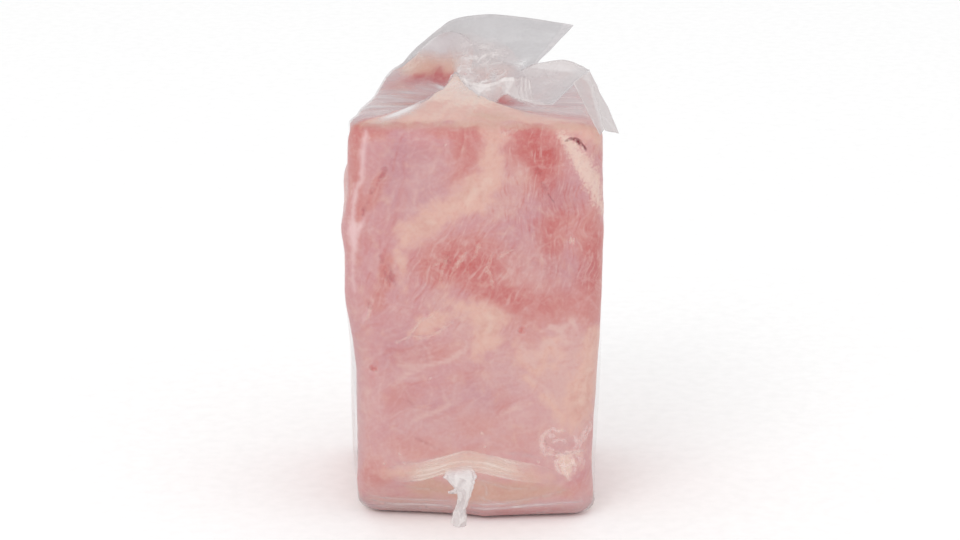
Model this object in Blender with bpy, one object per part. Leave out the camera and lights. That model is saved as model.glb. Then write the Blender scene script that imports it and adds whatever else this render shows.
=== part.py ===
"""A cooked ham, pressed to a square-sided block and cooked in its sealed clear film.

The block stands on one end. Its film is shrunk tight on the meat. At the top the open end of the
bag is drawn together in pleats, crumples into a neck, and ends in two loose flaps. Low on the front
the other end of the bag lies flat as a folded seam, with a short twisted tail hanging from it.
The film and the ham it holds are one solid here, because nothing separates them.

Units are metres, +Z is up, and the front of the block faces -Y.
The origin is at the middle of the flat end that the block stands on.
"""

import math

import bmesh
import bpy
from mathutils import Vector, noise

# Driving dimensions of the block
WIDTH = 0.1095
DEPTH = 0.105
EDGE_HEIGHT = 0.176
SIDE_ROUNDING = 0.010
TOP_ROUNDING = 0.007
FOOT_ROUNDING = 0.006

# How far the pressed block departs from a plain box
FOOT_NARROWING = 0.058
WIDEST_HEIGHT = 0.130
CROWN_NARROWING = 0.018
DEPTH_SHARE = 0.3
SHOULDER_INSET = 0.0165
SHOULDER_DROP = 0.0025
SHOULDER_START = 0.130
HEEL_X = 0.003
HEEL_HEIGHT = 0.025
HEEL_INSET_LEFT = 0.011
HEEL_INSET_RIGHT = 0.0035
HEEL_CURVE = 0.6
ANKLE_HEIGHT = 0.045
ANKLE_INSET = 0.0016
BULGE_HEIGHT = 0.128
BULGE_REACH = 0.010
BULGE = 0.0012
BELLY = 0.0008
BELLY_SCALE = 0.045

# The top, where the film is drawn up over the meat to the neck
TOP_SLOPE = 0.020
RIDGE_X = -0.0075
RIDGE_Y = -0.018
RIDGE_RISE = 0.0135
RIDGE_FALL = 1.5
RIDGE_LEFT = -0.050
RIDGE_RIGHT = 0.056
RIDGE_DROP = 0.007
DOME_X = -0.004
DOME_Y = 0.022
DOME_RISE = 0.013
DOME_REACH = 0.030
LIFT_DEPTH = 0.010

# The folded seam low on the front, as a flat ribbon from left to right
SEAM_LINE = [(-0.0410, -0.0465, 0.0220), (-0.0300, -0.0510, 0.0228), (-0.0185, -0.0520, 0.0250),
             (-0.0070, -0.0530, 0.0285), (0.0060, -0.0525, 0.0262), (0.0190, -0.0515, 0.0232),
             (0.0320, -0.0500, 0.0205), (0.0425, -0.0450, 0.0185)]
SEAM_HALF_WIDTHS = (0.0008, 0.0026, 0.0032, 0.0042, 0.0036, 0.0032, 0.0026, 0.0008)
SEAM_HALF_THICKNESS = 0.0017
SEAM_RINGS = 26

# Mesh fineness and the least thickness given to loose film
BLOCK_CUTS = 21
EDGE_CROWDING = 0.78
FILM_THICKNESS = 0.0011
SMOOTH_ANGLE = math.radians(50)

# Rails of the loose flaps: each flap is a sheet stretched from its lower rail to its upper rail
BACK_FLAP_TOP = [(-0.032, 0.039, 0.176), (-0.020, 0.0345, 0.1910), (-0.0085, 0.030, 0.2012),
                 (0.007, 0.024, 0.2058), (0.026, 0.015, 0.2064), (0.044, 0.005, 0.2057)]
BACK_FLAP_FOOT = [(-0.032, 0.032, 0.166), (-0.016, 0.022, 0.176), (-0.004, 0.008, 0.180),
                  (0.008, -0.004, 0.184), (0.020, -0.008, 0.188), (0.029, -0.008, 0.191)]
SIDE_FLAP_RIDGE = [(0.018, -0.007, 0.187), (0.028, -0.008, 0.191), (0.040, -0.012, 0.1938),
                   (0.050, -0.017, 0.191)]
SIDE_FLAP_HEM = [(0.012, -0.026, 0.178), (0.021, -0.032, 0.1795), (0.028, -0.035, 0.180),
                 (0.0327, -0.036, 0.180)]
TIP_FLAP_RIDGE = [(0.048, -0.015, 0.1915), (0.0537, -0.024, 0.185), (0.0581, -0.034, 0.1748),
                  (0.0606, -0.042, 0.1695)]
TIP_FLAP_HEM = [(0.0345, -0.0330, 0.182), (0.0440, -0.0410, 0.181), (0.0487, -0.0520, 0.1768),
                (0.0518, -0.0590, 0.1725)]
FLAP_COLUMNS = 14
FLAP_ROWS = 6
FLAP_WAVES = 2.5
FLAP_WAVE_DEPTH = 0.0010

# The crumpled neck between the pleats and the flaps
NECK_CENTRE = (0.009, -0.014, 0.1835)
NECK_RADII = (0.019, 0.011, 0.0070)
NECK_TILT = math.radians(17)
NECK_CRUMPLE = 0.0022
NECK_CRUMPLE_SCALE = 0.008

# The short tail that hangs from the seam to the floor
TAIL_LINE = [(-0.007, -0.0500, 0.0300), (-0.0068, -0.0555, 0.0240), (-0.0076, -0.0562, 0.0165),
             (-0.0078, -0.0560, 0.0095), (-0.0070, -0.0570, 0.0040), (-0.0070, -0.0580, 0.0010)]
TAIL_HALF_WIDTHS = (0.0075, 0.0052, 0.0031, 0.0029, 0.0037, 0.0030)
TAIL_HALF_THICKNESS = 0.0013
TAIL_RINGS = 16
RIBBON_SIDES = 10
RIBBON_CRUMPLE = 0.25


def clear_scene():
    for item in list(bpy.data.objects):
        bpy.data.objects.remove(item)


def plastic_film_on_ham():
    """Pink cured meat seen through its glossy film."""
    finish = bpy.data.materials.new("ham_in_clear_film")
    finish.use_nodes = True
    shader = finish.node_tree.nodes["Principled BSDF"]
    shader.inputs["Base Color"].default_value = (0.64, 0.36, 0.35, 1.0)
    shader.inputs["Roughness"].default_value = 0.28
    shader.inputs["Metallic"].default_value = 0.0
    return finish


def ease(value):
    """Rises smoothly from 0 to 1 as value goes from 0 to 1."""
    value = min(1.0, max(0.0, value))
    return value * value * (3.0 - 2.0 * value)


def bell(value):
    return math.exp(-value * value)


def crowded(value):
    """Moves evenly spaced grid lines towards the edges of a face, where the rounding is."""
    reach = math.pi / 2 * EDGE_CROWDING
    return math.sin(value * reach) / math.sin(reach)


def rounded_box(unit):
    """The point of the rounded box that a point of a cube from -1 to 1 stands for, and its outward direction."""
    half = Vector((WIDTH, DEPTH, EDGE_HEIGHT)) / 2
    rounding = Vector((SIDE_ROUNDING, SIDE_ROUNDING, TOP_ROUNDING if unit.z > 0 else FOOT_ROUNDING))
    core = Vector((0.0, 0.0, 0.0))
    outward = Vector((0.0, 0.0, 0.0))
    for axis in range(3):
        place = half[axis] * crowded(unit[axis])
        limit = half[axis] - rounding[axis]
        core[axis] = min(limit, max(-limit, place))
        outward[axis] = (place - core[axis]) / rounding[axis]
    outward.normalize()
    point = Vector(core[axis] + outward[axis] * rounding[axis] for axis in range(3))
    point.z += half.z
    return point, outward


def pleat_line(x):
    """How far back the edge of the front pleat lies at this x, and its height as a share of the highest."""
    reach = RIDGE_X - RIDGE_LEFT if x < RIDGE_X else RIDGE_RIGHT - RIDGE_X
    away = min(1.0, abs(x - RIDGE_X) / reach)
    front = -DEPTH / 2
    return RIDGE_Y + (front + 0.004 - RIDGE_Y) * away, (1.0 - away) ** RIDGE_FALL


def top_height(x, y):
    """How far the gathered top rises over the block's edge: the front pleat's ramp, then the meat's dome."""
    line, share = pleat_line(x)
    front = -DEPTH / 2
    if y < line:
        ramp = ease((y - front) / (line - front))
    else:
        ramp = bell((y - line) / RIDGE_DROP)
    away = math.hypot((x - DOME_X) / 1.15, y - DOME_Y) / DOME_REACH
    return RIDGE_RISE * share * ramp + DOME_RISE * bell(away)


def pressed_block(unit):
    """A point of the film-covered block for a point of the cube from -1 to 1."""
    point, outward = rounded_box(unit)
    height = point.z
    side = abs(point.x) / (WIDTH / 2)
    below = max(0.0, (WIDEST_HEIGHT - height) / WIDEST_HEIGHT)
    above = max(0.0, (height - WIDEST_HEIGHT) / (EDGE_HEIGHT - WIDEST_HEIGHT))
    narrowing = FOOT_NARROWING * below + CROWN_NARROWING * above
    point.x *= 1.0 - narrowing
    point.y *= 1.0 - narrowing * DEPTH_SHARE
    if point.y < 0:
        away = abs(point.x - HEEL_X) / (WIDTH / 2)
        heel = (HEEL_INSET_LEFT if point.x < HEEL_X else HEEL_INSET_RIGHT) * away ** HEEL_CURVE
        point.y += heel * ease((HEEL_HEIGHT - height) / HEEL_HEIGHT) * ease(-point.y / (DEPTH / 2))
    lift = ease((height - (EDGE_HEIGHT - LIFT_DEPTH)) / LIFT_DEPTH)
    if point.x < 0:
        back = ease((point.y + DEPTH / 2) / DEPTH)
        rise = ease((height - SHOULDER_START) / (EDGE_HEIGHT - SHOULDER_START))
        point.x += SHOULDER_INSET * back * rise * side
        point.x += ANKLE_INSET * side * ease((ANKLE_HEIGHT - height) / ANKLE_HEIGHT)
        point.x -= BULGE * side * bell((height - BULGE_HEIGHT) / BULGE_REACH)
        point.z -= SHOULDER_DROP * back * side * lift
    point.z += (top_height(point.x, point.y) - TOP_SLOPE * point.x) * lift
    above_floor = ease(height / FOOT_ROUNDING)
    point += outward * BELLY * above_floor * noise.noise(point / BELLY_SCALE)
    return point


def new_object(name, shape, collection):
    mesh = bpy.data.meshes.new(name)
    shape.to_mesh(mesh)
    shape.free()
    made = bpy.data.objects.new(name, mesh)
    collection.objects.link(made)
    return made


def block(collection):
    shape = bmesh.new()
    bmesh.ops.create_cube(shape, size=2.0)
    bmesh.ops.subdivide_edges(shape, edges=shape.edges[:], cuts=BLOCK_CUTS, use_grid_fill=True)
    for vertex in shape.verts:
        vertex.co = pressed_block(vertex.co)
    return new_object("ham_in_film", shape, collection)


def along(points, share):
    """The point at this share of a smooth curve through evenly shared points."""
    place = share * (len(points) - 1)
    first = min(int(place), len(points) - 2)
    near = [Vector(points[min(len(points) - 1, max(0, first + step))]) for step in (-1, 0, 1, 2)]
    t = place - first
    return 0.5 * (2 * near[1] + (near[2] - near[0]) * t
                  + (2 * near[0] - 5 * near[1] + 4 * near[2] - near[3]) * t * t
                  + (3 * near[1] - near[0] - 3 * near[2] + near[3]) * t * t * t)


def flap(name, top, foot, collection):
    """A loose sheet of film between two rails, waved across its width."""
    shape = bmesh.new()
    bmesh.ops.create_grid(shape, x_segments=FLAP_COLUMNS, y_segments=FLAP_ROWS, size=0.5)
    normal = (Vector(top[-1]) - Vector(foot[0])).cross(Vector(top[0]) - Vector(foot[-1])).normalized()
    for vertex in shape.verts:
        across, up = vertex.co.x + 0.5, vertex.co.y + 0.5
        wave = math.sin(across * FLAP_WAVES * math.tau + up) * math.sin(up * math.pi)
        vertex.co = along(foot, across).lerp(along(top, across), up) + normal * wave * FLAP_WAVE_DEPTH
    bmesh.ops.triangulate(shape, faces=shape.faces[:])
    bmesh.ops.solidify(shape, geom=shape.faces[:], thickness=FILM_THICKNESS)
    bmesh.ops.recalc_face_normals(shape, faces=shape.faces[:])
    return new_object(name, shape, collection)


def neck(collection):
    """The crumpled bunch of film between the pleats and the flaps."""
    shape = bmesh.new()
    bmesh.ops.create_icosphere(shape, subdivisions=3, radius=1.0)
    for vertex in shape.verts:
        outward = vertex.co.normalized()
        x, y, z = (vertex.co[axis] * NECK_RADII[axis] for axis in range(3))
        turned = Vector((x * math.cos(NECK_TILT) + z * math.sin(NECK_TILT), y,
                         z * math.cos(NECK_TILT) - x * math.sin(NECK_TILT)))
        place = Vector(NECK_CENTRE) + turned
        vertex.co = place + outward * NECK_CRUMPLE * noise.noise(place / NECK_CRUMPLE_SCALE)
    return new_object("neck", shape, collection)


def between(sizes, share):
    """The size at this share of the way along a list of sizes."""
    place = share * (len(sizes) - 1)
    first = min(int(place), len(sizes) - 2)
    return sizes[first] * (first + 1 - place) + sizes[first + 1] * (place - first)


def ribbon(name, line, half_widths, half_thickness, width_axis, rings, collection):
    """A flat crumpled strip of gathered film: flat rings, joined along a line."""
    shape = bmesh.new()
    loops = []
    for ring in range(rings):
        share = ring / (rings - 1)
        corners = []
        for side in range(RIBBON_SIDES):
            turn = side / RIBBON_SIDES * math.tau
            crumple = 1.0 + RIBBON_CRUMPLE * noise.noise(Vector((turn, share * 9.0, 0.0)))
            across = width_axis * math.cos(turn) * between(half_widths, share)
            depth = Vector((0.0, -math.sin(turn) * half_thickness, 0.0))
            corners.append(shape.verts.new(along(line, share) + (across + depth) * crumple))
        loops.append([shape.edges.new((corners[i - 1], corners[i])) for i in range(RIBBON_SIDES)])
    for first, second in zip(loops, loops[1:]):
        bmesh.ops.bridge_loops(shape, edges=first + second)
    bmesh.ops.holes_fill(shape, edges=loops[0] + loops[-1])
    bmesh.ops.recalc_face_normals(shape, faces=shape.faces[:])
    return new_object(name, shape, collection)


def fuse(body, added):
    """Joins the body with all that the added collection holds, and removes the collection's objects."""
    join = body.modifiers.new("join", "BOOLEAN")
    join.operation = "UNION"
    join.operand_type = "COLLECTION"
    join.collection = added
    join.solver = "EXACT"
    bpy.context.view_layer.update()
    joined = bpy.data.meshes.new_from_object(body.evaluated_get(bpy.context.evaluated_depsgraph_get()))
    body.modifiers.clear()
    body.data = joined
    for item in list(added.objects):
        bpy.data.objects.remove(item)
    bpy.data.collections.remove(added)


def main():
    clear_scene()
    base = bpy.context.scene.collection
    added = bpy.data.collections.new("loose_film")
    base.children.link(added)
    body = block(base)
    flap("back_flap", BACK_FLAP_TOP, BACK_FLAP_FOOT, added)
    flap("side_flap", SIDE_FLAP_RIDGE, SIDE_FLAP_HEM, added)
    flap("tip_flap", TIP_FLAP_RIDGE, TIP_FLAP_HEM, added)
    neck(added)
    ribbon("seam", SEAM_LINE, SEAM_HALF_WIDTHS, SEAM_HALF_THICKNESS, Vector((0, 0, 1)), SEAM_RINGS, added)
    ribbon("tail", TAIL_LINE, TAIL_HALF_WIDTHS, TAIL_HALF_THICKNESS, Vector((1, 0, 0)), TAIL_RINGS, added)
    fuse(body, added)
    body.data.materials.clear()
    body.data.materials.append(plastic_film_on_ham())
    body.data.shade_smooth()
    body.data.set_sharp_from_angle(angle=SMOOTH_ANGLE)


main()
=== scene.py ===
"""The looks of a whole cooked ham, pressed to a square-sided block in its sealed clear film.

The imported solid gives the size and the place. Here the meat, the film that is shrunk on it and the
loose film at its two ends become pieces of their own, with their real finishes.
Units are metres, +Z is up, and the front of the block faces -Y.
"""

import math

import bmesh
import bpy
import numpy as np
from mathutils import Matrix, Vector, noise
from mathutils.bvhtree import BVHTree


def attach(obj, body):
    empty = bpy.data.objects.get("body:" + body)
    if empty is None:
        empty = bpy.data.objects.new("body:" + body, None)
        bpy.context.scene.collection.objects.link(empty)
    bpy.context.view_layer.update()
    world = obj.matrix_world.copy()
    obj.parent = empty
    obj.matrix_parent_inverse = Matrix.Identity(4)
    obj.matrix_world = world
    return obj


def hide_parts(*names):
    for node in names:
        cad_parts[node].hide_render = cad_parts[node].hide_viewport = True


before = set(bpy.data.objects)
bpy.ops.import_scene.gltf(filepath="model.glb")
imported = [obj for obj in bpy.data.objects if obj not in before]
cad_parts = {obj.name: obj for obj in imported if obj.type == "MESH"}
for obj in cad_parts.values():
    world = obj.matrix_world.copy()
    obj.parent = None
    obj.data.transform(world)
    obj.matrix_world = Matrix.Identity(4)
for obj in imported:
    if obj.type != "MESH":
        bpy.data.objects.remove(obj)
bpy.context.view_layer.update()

MM = 0.001
# mathutils starts its vector noise from the clock unless it is given a seed, so that each run would differ
noise.seed_set(3)

# ------------ the block's shape, as in the solid

WIDTH, DEPTH, EDGE_HEIGHT = 0.1095, 0.105, 0.176
SIDE_ROUNDING, TOP_ROUNDING, FOOT_ROUNDING = 0.010, 0.007, 0.006
FOOT_NARROWING, WIDEST_HEIGHT, CROWN_NARROWING = 0.058, 0.130, 0.018
DEPTH_SHARE = 0.3
SHOULDER_INSET, SHOULDER_DROP, SHOULDER_START = 0.0165, 0.0025, 0.130
HEEL_X, HEEL_HEIGHT, HEEL_CURVE = 0.003, 0.025, 0.6
HEEL_INSET_LEFT, HEEL_INSET_RIGHT = 0.011, 0.0035
ANKLE_HEIGHT, ANKLE_INSET = 0.045, 0.0016
BULGE_HEIGHT, BULGE_REACH, BULGE = 0.128, 0.010, 0.0012
BELLY, BELLY_SCALE = 0.0008, 0.045
# Finer forms of the left side, which the solid leaves out. Each bump has a middle, a reach and a height: the
# swells follow each other up the front, and the shoulder's bumps from front to back along the upper edge.
LEFT_SWELLS = ((0.102, 0.014, 0.0012), (0.1305, 0.005, 0.0009))
LEFT_SWELLS_END = 0.030
SHOULDER_BUMPS = ((-0.035, 0.007, 0.0022), (-0.012, 0.018, 0.0016))
BUMPS_START, BUMPS_FADE = 0.1695, 0.005
# A slight waist under the shoulder, behind the front edge
LEFT_WAIST, WAIST_HEIGHT, WAIST_REACH = 0.0026, 0.152, 0.016
WAIST_START, WAIST_FADE = -0.042, 0.016
# The dome's crest under the back flap, which the solid has lower
CREST_X, CREST_Y, CREST_RISE, CREST_REACH = -0.011, 0.022, 0.0038, 0.011
TOP_SLOPE = 0.020
RIDGE_X, RIDGE_Y, RIDGE_RISE, RIDGE_BEND = -0.0075, -0.018, 0.0135, 0.8
# The ridge falls off faster to the right, where the solid has it even
RIDGE_FALL_LEFT, RIDGE_FALL_RIGHT = 2.2, 3.3
RIDGE_LEFT, RIDGE_RIGHT, PLEAT_FOOT = -0.050, 0.056, 0.004
# How far behind the ridge the film, and the meat under it, come down
FILM_RIDGE_DROP, MEAT_RIDGE_DROP = 0.0045, 0.009
# The small knob at the ridge's peak
KNOB_RISE, KNOB_REACH = 0.0018, 0.0026
DOME_X, DOME_Y, DOME_RISE = -0.007, 0.020, 0.0195
DOME_REACH_X, DOME_REACH_FRONT, DOME_REACH_BACK = 0.026, 0.0145, 0.026
LIFT_DEPTH = 0.010
# The height above which a place belongs to the gathered top
TOP_START, TOP_FADE = 0.1725, 0.004

# The meat and its film are cubes cut this many times along X, Y and Z, more closely near the edges
MEAT_CUTS, FILM_CUTS, EDGE_CROWDING = (110, 84, 176), (104, 80, 150), 0.80
MEAT_ROUNDINGS = (0.0108, 0.0080, 0.0062)
FILM_ROUNDINGS = (SIDE_ROUNDING, TOP_ROUNDING, FOOT_ROUNDING)
# How far the meat lies inside its film: everywhere, low on the left, low on the right, and in the top
MEAT_INSET, LEFT_INSET, RIGHT_INSET, TOP_INSET = 0.0004, 0.0020, 0.0012, 0.0010
# How high the cream-white curds stand, and the slight unevenness of all the meat
CURD_RELIEF, MEAT_UNEVENNESS = 0.0006, 0.00025

# The neck, where the film is gathered: its place, and for the fine gathers round it how many, about, and how
# far one runs before it fades
NECK_X, NECK_Y = 0.009, -0.014
GATHERS, GATHER_LENGTH = 7.0, 0.030
# Loose film is drawn about twice as thick as the real one, so that its edges show
FILM_GAUGE = 0.00012


def ease(value):
    """Rises smoothly from 0 to 1 as value goes from 0 to 1."""
    value = np.clip(value, 0.0, 1.0)
    return value * value * (3.0 - 2.0 * value)


def bell(value):
    """Falls smoothly from 1 at 0 to nearly 0 beyond 2, to both sides."""
    return np.exp(-value * value)


def lumps(points, size, seed=0.0):
    """Smooth noise from -1 to 1 at each point, with lumps of this size."""
    offset = Vector((seed * 3.1, seed * 7.7, seed * 1.3))
    return np.array([noise.noise(Vector(point) / size + offset) for point in points])


def crowded(value):
    """Moves evenly spaced grid lines towards the edges of a face, where the rounding is."""
    reach = math.pi / 2 * EDGE_CROWDING
    return np.sin(value * reach) / math.sin(reach)


def rounded_box(unit, roundings):
    """The points of the rounded box that points of a cube stand for, and their outward directions."""
    side, top, foot = roundings
    half = np.array((WIDTH, DEPTH, EDGE_HEIGHT)) / 2
    rounding = np.empty_like(unit)
    rounding[:, :2] = side
    rounding[:, 2] = np.where(unit[:, 2] > 0, top, foot)
    place = half * crowded(unit)
    core = np.clip(place, rounding - half, half - rounding)
    outward = (place - core) / rounding
    outward /= np.linalg.norm(outward, axis=1)[:, None]
    point = core + outward * rounding
    point[:, 2] += half[2]
    return point, outward


def pleat_line(x):
    """How far back the edge of the front pleat lies at each x, and its height as a share of the highest."""
    left = x < RIDGE_X
    away = np.minimum(1.0, np.abs(x - RIDGE_X) / np.where(left, RIDGE_X - RIDGE_LEFT, RIDGE_RIGHT - RIDGE_X))
    share = (1.0 - away) ** np.where(left, RIDGE_FALL_LEFT, RIDGE_FALL_RIGHT)
    return RIDGE_Y + (PLEAT_FOOT - DEPTH / 2 - RIDGE_Y) * away ** RIDGE_BEND, share


def top_height(x, y, ridge_drop):
    """How far the gathered top rises over the block's edge: the front pleat's ramp, then the meat's dome."""
    line, share = pleat_line(x)
    front = -DEPTH / 2
    ramp = np.where(y < line, ease((y - front) / (line - front)), bell((y - line) / ridge_drop))
    reach = np.where(y < DOME_Y, DOME_REACH_FRONT, DOME_REACH_BACK)
    away = np.hypot((x - DOME_X) / DOME_REACH_X, (y - DOME_Y) / reach)
    crest = CREST_RISE * bell(np.hypot(x - CREST_X, y - CREST_Y) / CREST_REACH)
    return RIDGE_RISE * share * ramp + DOME_RISE * bell(away) + crest


def bumps(value, table):
    """The sum of soft bumps, each with its middle, its reach and its height."""
    return sum(height * bell((value - middle) / reach) for middle, reach, height in table)


def pressed_block(unit, roundings, ridge_drop):
    """The block's points for the points of a cube from -1 to 1, and their outward directions."""
    point, outward = rounded_box(unit, roundings)
    x, y, z = point.T.copy()
    side = np.abs(x) / (WIDTH / 2)
    below = np.maximum(0.0, (WIDEST_HEIGHT - z) / WIDEST_HEIGHT)
    above = np.maximum(0.0, (z - WIDEST_HEIGHT) / (EDGE_HEIGHT - WIDEST_HEIGHT))
    narrowing = FOOT_NARROWING * below + CROWN_NARROWING * above
    x *= 1.0 - narrowing
    y *= 1.0 - narrowing * DEPTH_SHARE
    away = np.abs(x - HEEL_X) / (WIDTH / 2)
    heel = np.where(x < HEEL_X, HEEL_INSET_LEFT, HEEL_INSET_RIGHT) * away ** HEEL_CURVE
    y += np.where(y < 0, heel * ease((HEEL_HEIGHT - z) / HEEL_HEIGHT) * ease(-y / (DEPTH / 2)), 0.0)
    lift = ease((z - (EDGE_HEIGHT - LIFT_DEPTH)) / LIFT_DEPTH)
    left = x < 0
    back = ease((y + DEPTH / 2) / DEPTH)
    rise = ease((z - SHOULDER_START) / (EDGE_HEIGHT - SHOULDER_START))
    inward = SHOULDER_INSET * back * rise + ANKLE_INSET * ease((ANKLE_HEIGHT - z) / ANKLE_HEIGHT)
    inward += LEFT_WAIST * bell((z - WAIST_HEIGHT) / WAIST_REACH) * ease((y - WAIST_START) / WAIST_FADE)
    inward -= BULGE * bell((z - BULGE_HEIGHT) / BULGE_REACH)
    inward -= bumps(z, LEFT_SWELLS) * ease(-y / LEFT_SWELLS_END)
    inward -= bumps(y, SHOULDER_BUMPS) * ease((z - BUMPS_START) / BUMPS_FADE)
    x += np.where(left, side * inward, 0.0)
    drop = np.where(left, SHOULDER_DROP * back * side * lift, 0.0)
    above_floor = ease(z / FOOT_ROUNDING)
    z += (top_height(x, y, ridge_drop) - TOP_SLOPE * x) * lift - drop
    point = np.stack((x, y, z), axis=1)
    point += outward * (BELLY * above_floor * lumps(point, BELLY_SCALE))[:, None]
    return point, outward


def ridge_knob(x, y, z):
    """1 at the peak of the front pleat, falling to 0 a few millimetres off."""
    return bell(np.hypot(x - RIDGE_X, y - RIDGE_Y) / KNOB_REACH) * ease((z - TOP_START) / TOP_FADE)


# ------------ meshes


def grid_cube(cuts):
    """A cube from -1 to 1 whose edges along X, Y and Z are cut this many times."""
    shape = bmesh.new()
    bmesh.ops.create_cube(shape, size=2.0)
    for axis, times in enumerate(cuts):
        along_axis = [e for e in shape.edges if abs(e.verts[0].co[axis] - e.verts[1].co[axis]) > 1.5]
        bmesh.ops.subdivide_edges(shape, edges=along_axis, cuts=times, use_grid_fill=True)
    return shape


def placed(name, data):
    """A new object in the scene."""
    made = bpy.data.objects.new(name, data)
    bpy.context.scene.collection.objects.link(made)
    return made


def finished(name, shape, material, fields, clear=False):
    """Makes an object of a bmesh, with a material and named numbers at its points, and rides it on the part.

    A clear piece is thin film or a thin mark. It passes the light on to what it covers, so it casts no shade.
    """
    mesh = bpy.data.meshes.new(name)
    shape.to_mesh(mesh)
    shape.free()
    for field, values in fields.items():
        stored = mesh.attributes.new(field, "FLOAT", "POINT").data
        stored.foreach_set("value", np.asarray(values, dtype=np.float32))
    mesh.materials.append(material)
    mesh.shade_smooth()
    made = placed(name, mesh)
    made.visible_shadow = made.visible_diffuse = not clear
    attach(made, "root")
    return made


def places(shape):
    """The points of a bmesh as rows."""
    return np.array([vertex.co[:] for vertex in shape.verts])


def place_all(shape, points):
    for vertex, point in zip(shape.verts, points):
        vertex.co = point


def in_metres(path):
    """A path that is given in mm right of the middle and above the floor, as places."""
    return [(x * MM, 0.0, z * MM) for x, z in path]


def seen_from_front(surface, spot):
    """The place on a surface that covers this spot, seen from the front, and the direction square to it."""
    found, normal, _, _ = surface.ray_cast(Vector((spot.x, -0.2, spot.z)), Vector((0, 1, 0)))
    return found, normal


def along(points, share):
    """The point at this share of a smooth curve through evenly shared points."""
    place = share * (len(points) - 1)
    first = min(int(place), len(points) - 2)
    near = [Vector(points[min(len(points) - 1, max(0, first + step))]) for step in (-1, 0, 1, 2)]
    t = place - first
    return 0.5 * (2 * near[1] + (near[2] - near[0]) * t
                  + (2 * near[0] - 5 * near[1] + 4 * near[2] - near[3]) * t * t
                  + (3 * near[1] - near[0] - 3 * near[2] + near[3]) * t * t * t)


# ------------ muscles and fat, in millimetres


def chain(x, z, path, widths):
    """How deep each place lies inside a chain of rounded bars, in mm: positive inside, negative outside."""
    depth = np.full(x.shape, -99.0)
    for (x1, z1), (x2, z2), r1, r2 in zip(path, path[1:], widths, widths[1:]):
        length = max(1e-6, (x2 - x1) ** 2 + (z2 - z1) ** 2)
        share = np.clip(((x - x1) * (x2 - x1) + (z - z1) * (z2 - z1)) / length, 0.0, 1.0)
        away = np.hypot(x - x1 - share * (x2 - x1), z - z1 - share * (z2 - z1))
        depth = np.maximum(depth, r1 + (r2 - r1) * share - away)
    return depth


def deepest(x, z, chains):
    """How deep each place lies inside the nearest of these chains."""
    return np.max([chain(x, z, path, widths) for path, widths in chains], axis=0)


def tones(x, z, spots):
    """The sum of soft oval spots: each is strongest in its middle and falls to 0 outside its reach."""
    total = 0.0
    for middle_x, middle_z, reach_along, reach_across, turn, amount in spots:
        c, s = math.cos(math.radians(turn)), math.sin(math.radians(turn))
        along_it = ((x - middle_x) * c + (z - middle_z) * s) / reach_along
        across_it = ((z - middle_z) * c - (x - middle_x) * s) / reach_across
        total = total + amount * np.exp(-(along_it ** 2 + across_it ** 2) ** 1.4)
    return total


# Seams and pools of fat on the front: points in mm right of the middle and above the floor, and half widths
FRONT_FAT = (
    ([(6, 180), (7, 166), (5.5, 154), (-1.5, 145.5), (-11, 140), (-20.5, 134), (-27.5, 130), (-32, 123),
      (-31, 114), (-30, 105.5)], [4.5, 4.5, 6, 8, 6.5, 6.6, 5.4, 2.4, 1.2, 0.3]),
    ([(-11, 98.5), (-1, 96), (7, 92), (5, 84), (-1, 76)], [2.5, 5, 6.5, 5.5, 2.5]),
    ([(18.5, 79), (21.5, 73), (25, 70), (28.5, 77), (32.5, 81), (35.5, 75), (34, 70)],
     [2.2, 3.2, 3.4, 3.0, 3.0, 2.2, 1.0]),
    ([(50.5, 83), (49, 68), (44, 54), (42, 46)], [4, 6.5, 8.5, 4]),
    ([(-39, 24.5), (-30, 23.2), (-20, 23.5), (-10, 27), (-3, 28.5), (6, 25.5), (16, 22.5), (30, 20)],
     [1, 2.6, 2.8, 3.2, 3.6, 3.4, 3.0, 1.5]),
    ([(21.5, 65.5), (30, 56.5), (35.5, 49), (40.5, 41.5)], [1, 1.6, 2, 1.4]),
    ([(-27, 86), (-22, 88.5), (-16, 92), (-12, 94)], [1.2, 3.4, 3.6, 1.2]),
    ([(30, 177), (44, 174), (52, 168)], [3, 3.5, 3]),
)
FRONT_CREAM = (
    ([(36, 171), (42, 164), (47.5, 154), (51.5, 143), (54, 136)], [2, 4, 4.2, 2.6, 1]),
    ([(37, 41.9), (32.2, 42.5), (29.1, 39.7), (28, 35.2), (29.6, 31.3), (34.3, 30.2)],
     [0.3, 0.4, 0.6, 0.5, 0.8, 1.2]),
    ([(34.3, 30.2), (40, 30.4), (47.5, 31.3)], [1.2, 1.8, 1.0]),
    ([(38, 28), (38.6, 24), (39.6, 20.4)], [4.0, 3.8, 1.4]), ([(41, 27), (44.4, 25)], [2.8, 1.6]),
)
# A painted highlight, drawn as a pale pink strip on the meat where the film stands off the left edge
FRONT_EDGE_HIGHLIGHT = (
    ([(-45.6, 173.6), (-47, 164.6), (-47.5, 156.7), (-47.5, 153.3)], [1.0, 1.6, 1.4, 1.0]),
    ([(-47.5, 153.3), (-50.0, 149.3), (-51.2, 142.7), (-51.9, 136.4), (-51.7, 130.8), (-51.2, 124),
      (-51.9, 117.8), (-52.0, 110), (-51.2, 104.4)], [1.0, 1.3, 1.6, 1.4, 2.8, 2.0, 0.8, 0.5, 0.9]),
    ([(-50.8, 129), (-46.6, 137)], [2.0, 0.5]), ([(-45.5, 97), (-48, 91)], [0.6, 0.5]),
)
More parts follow.
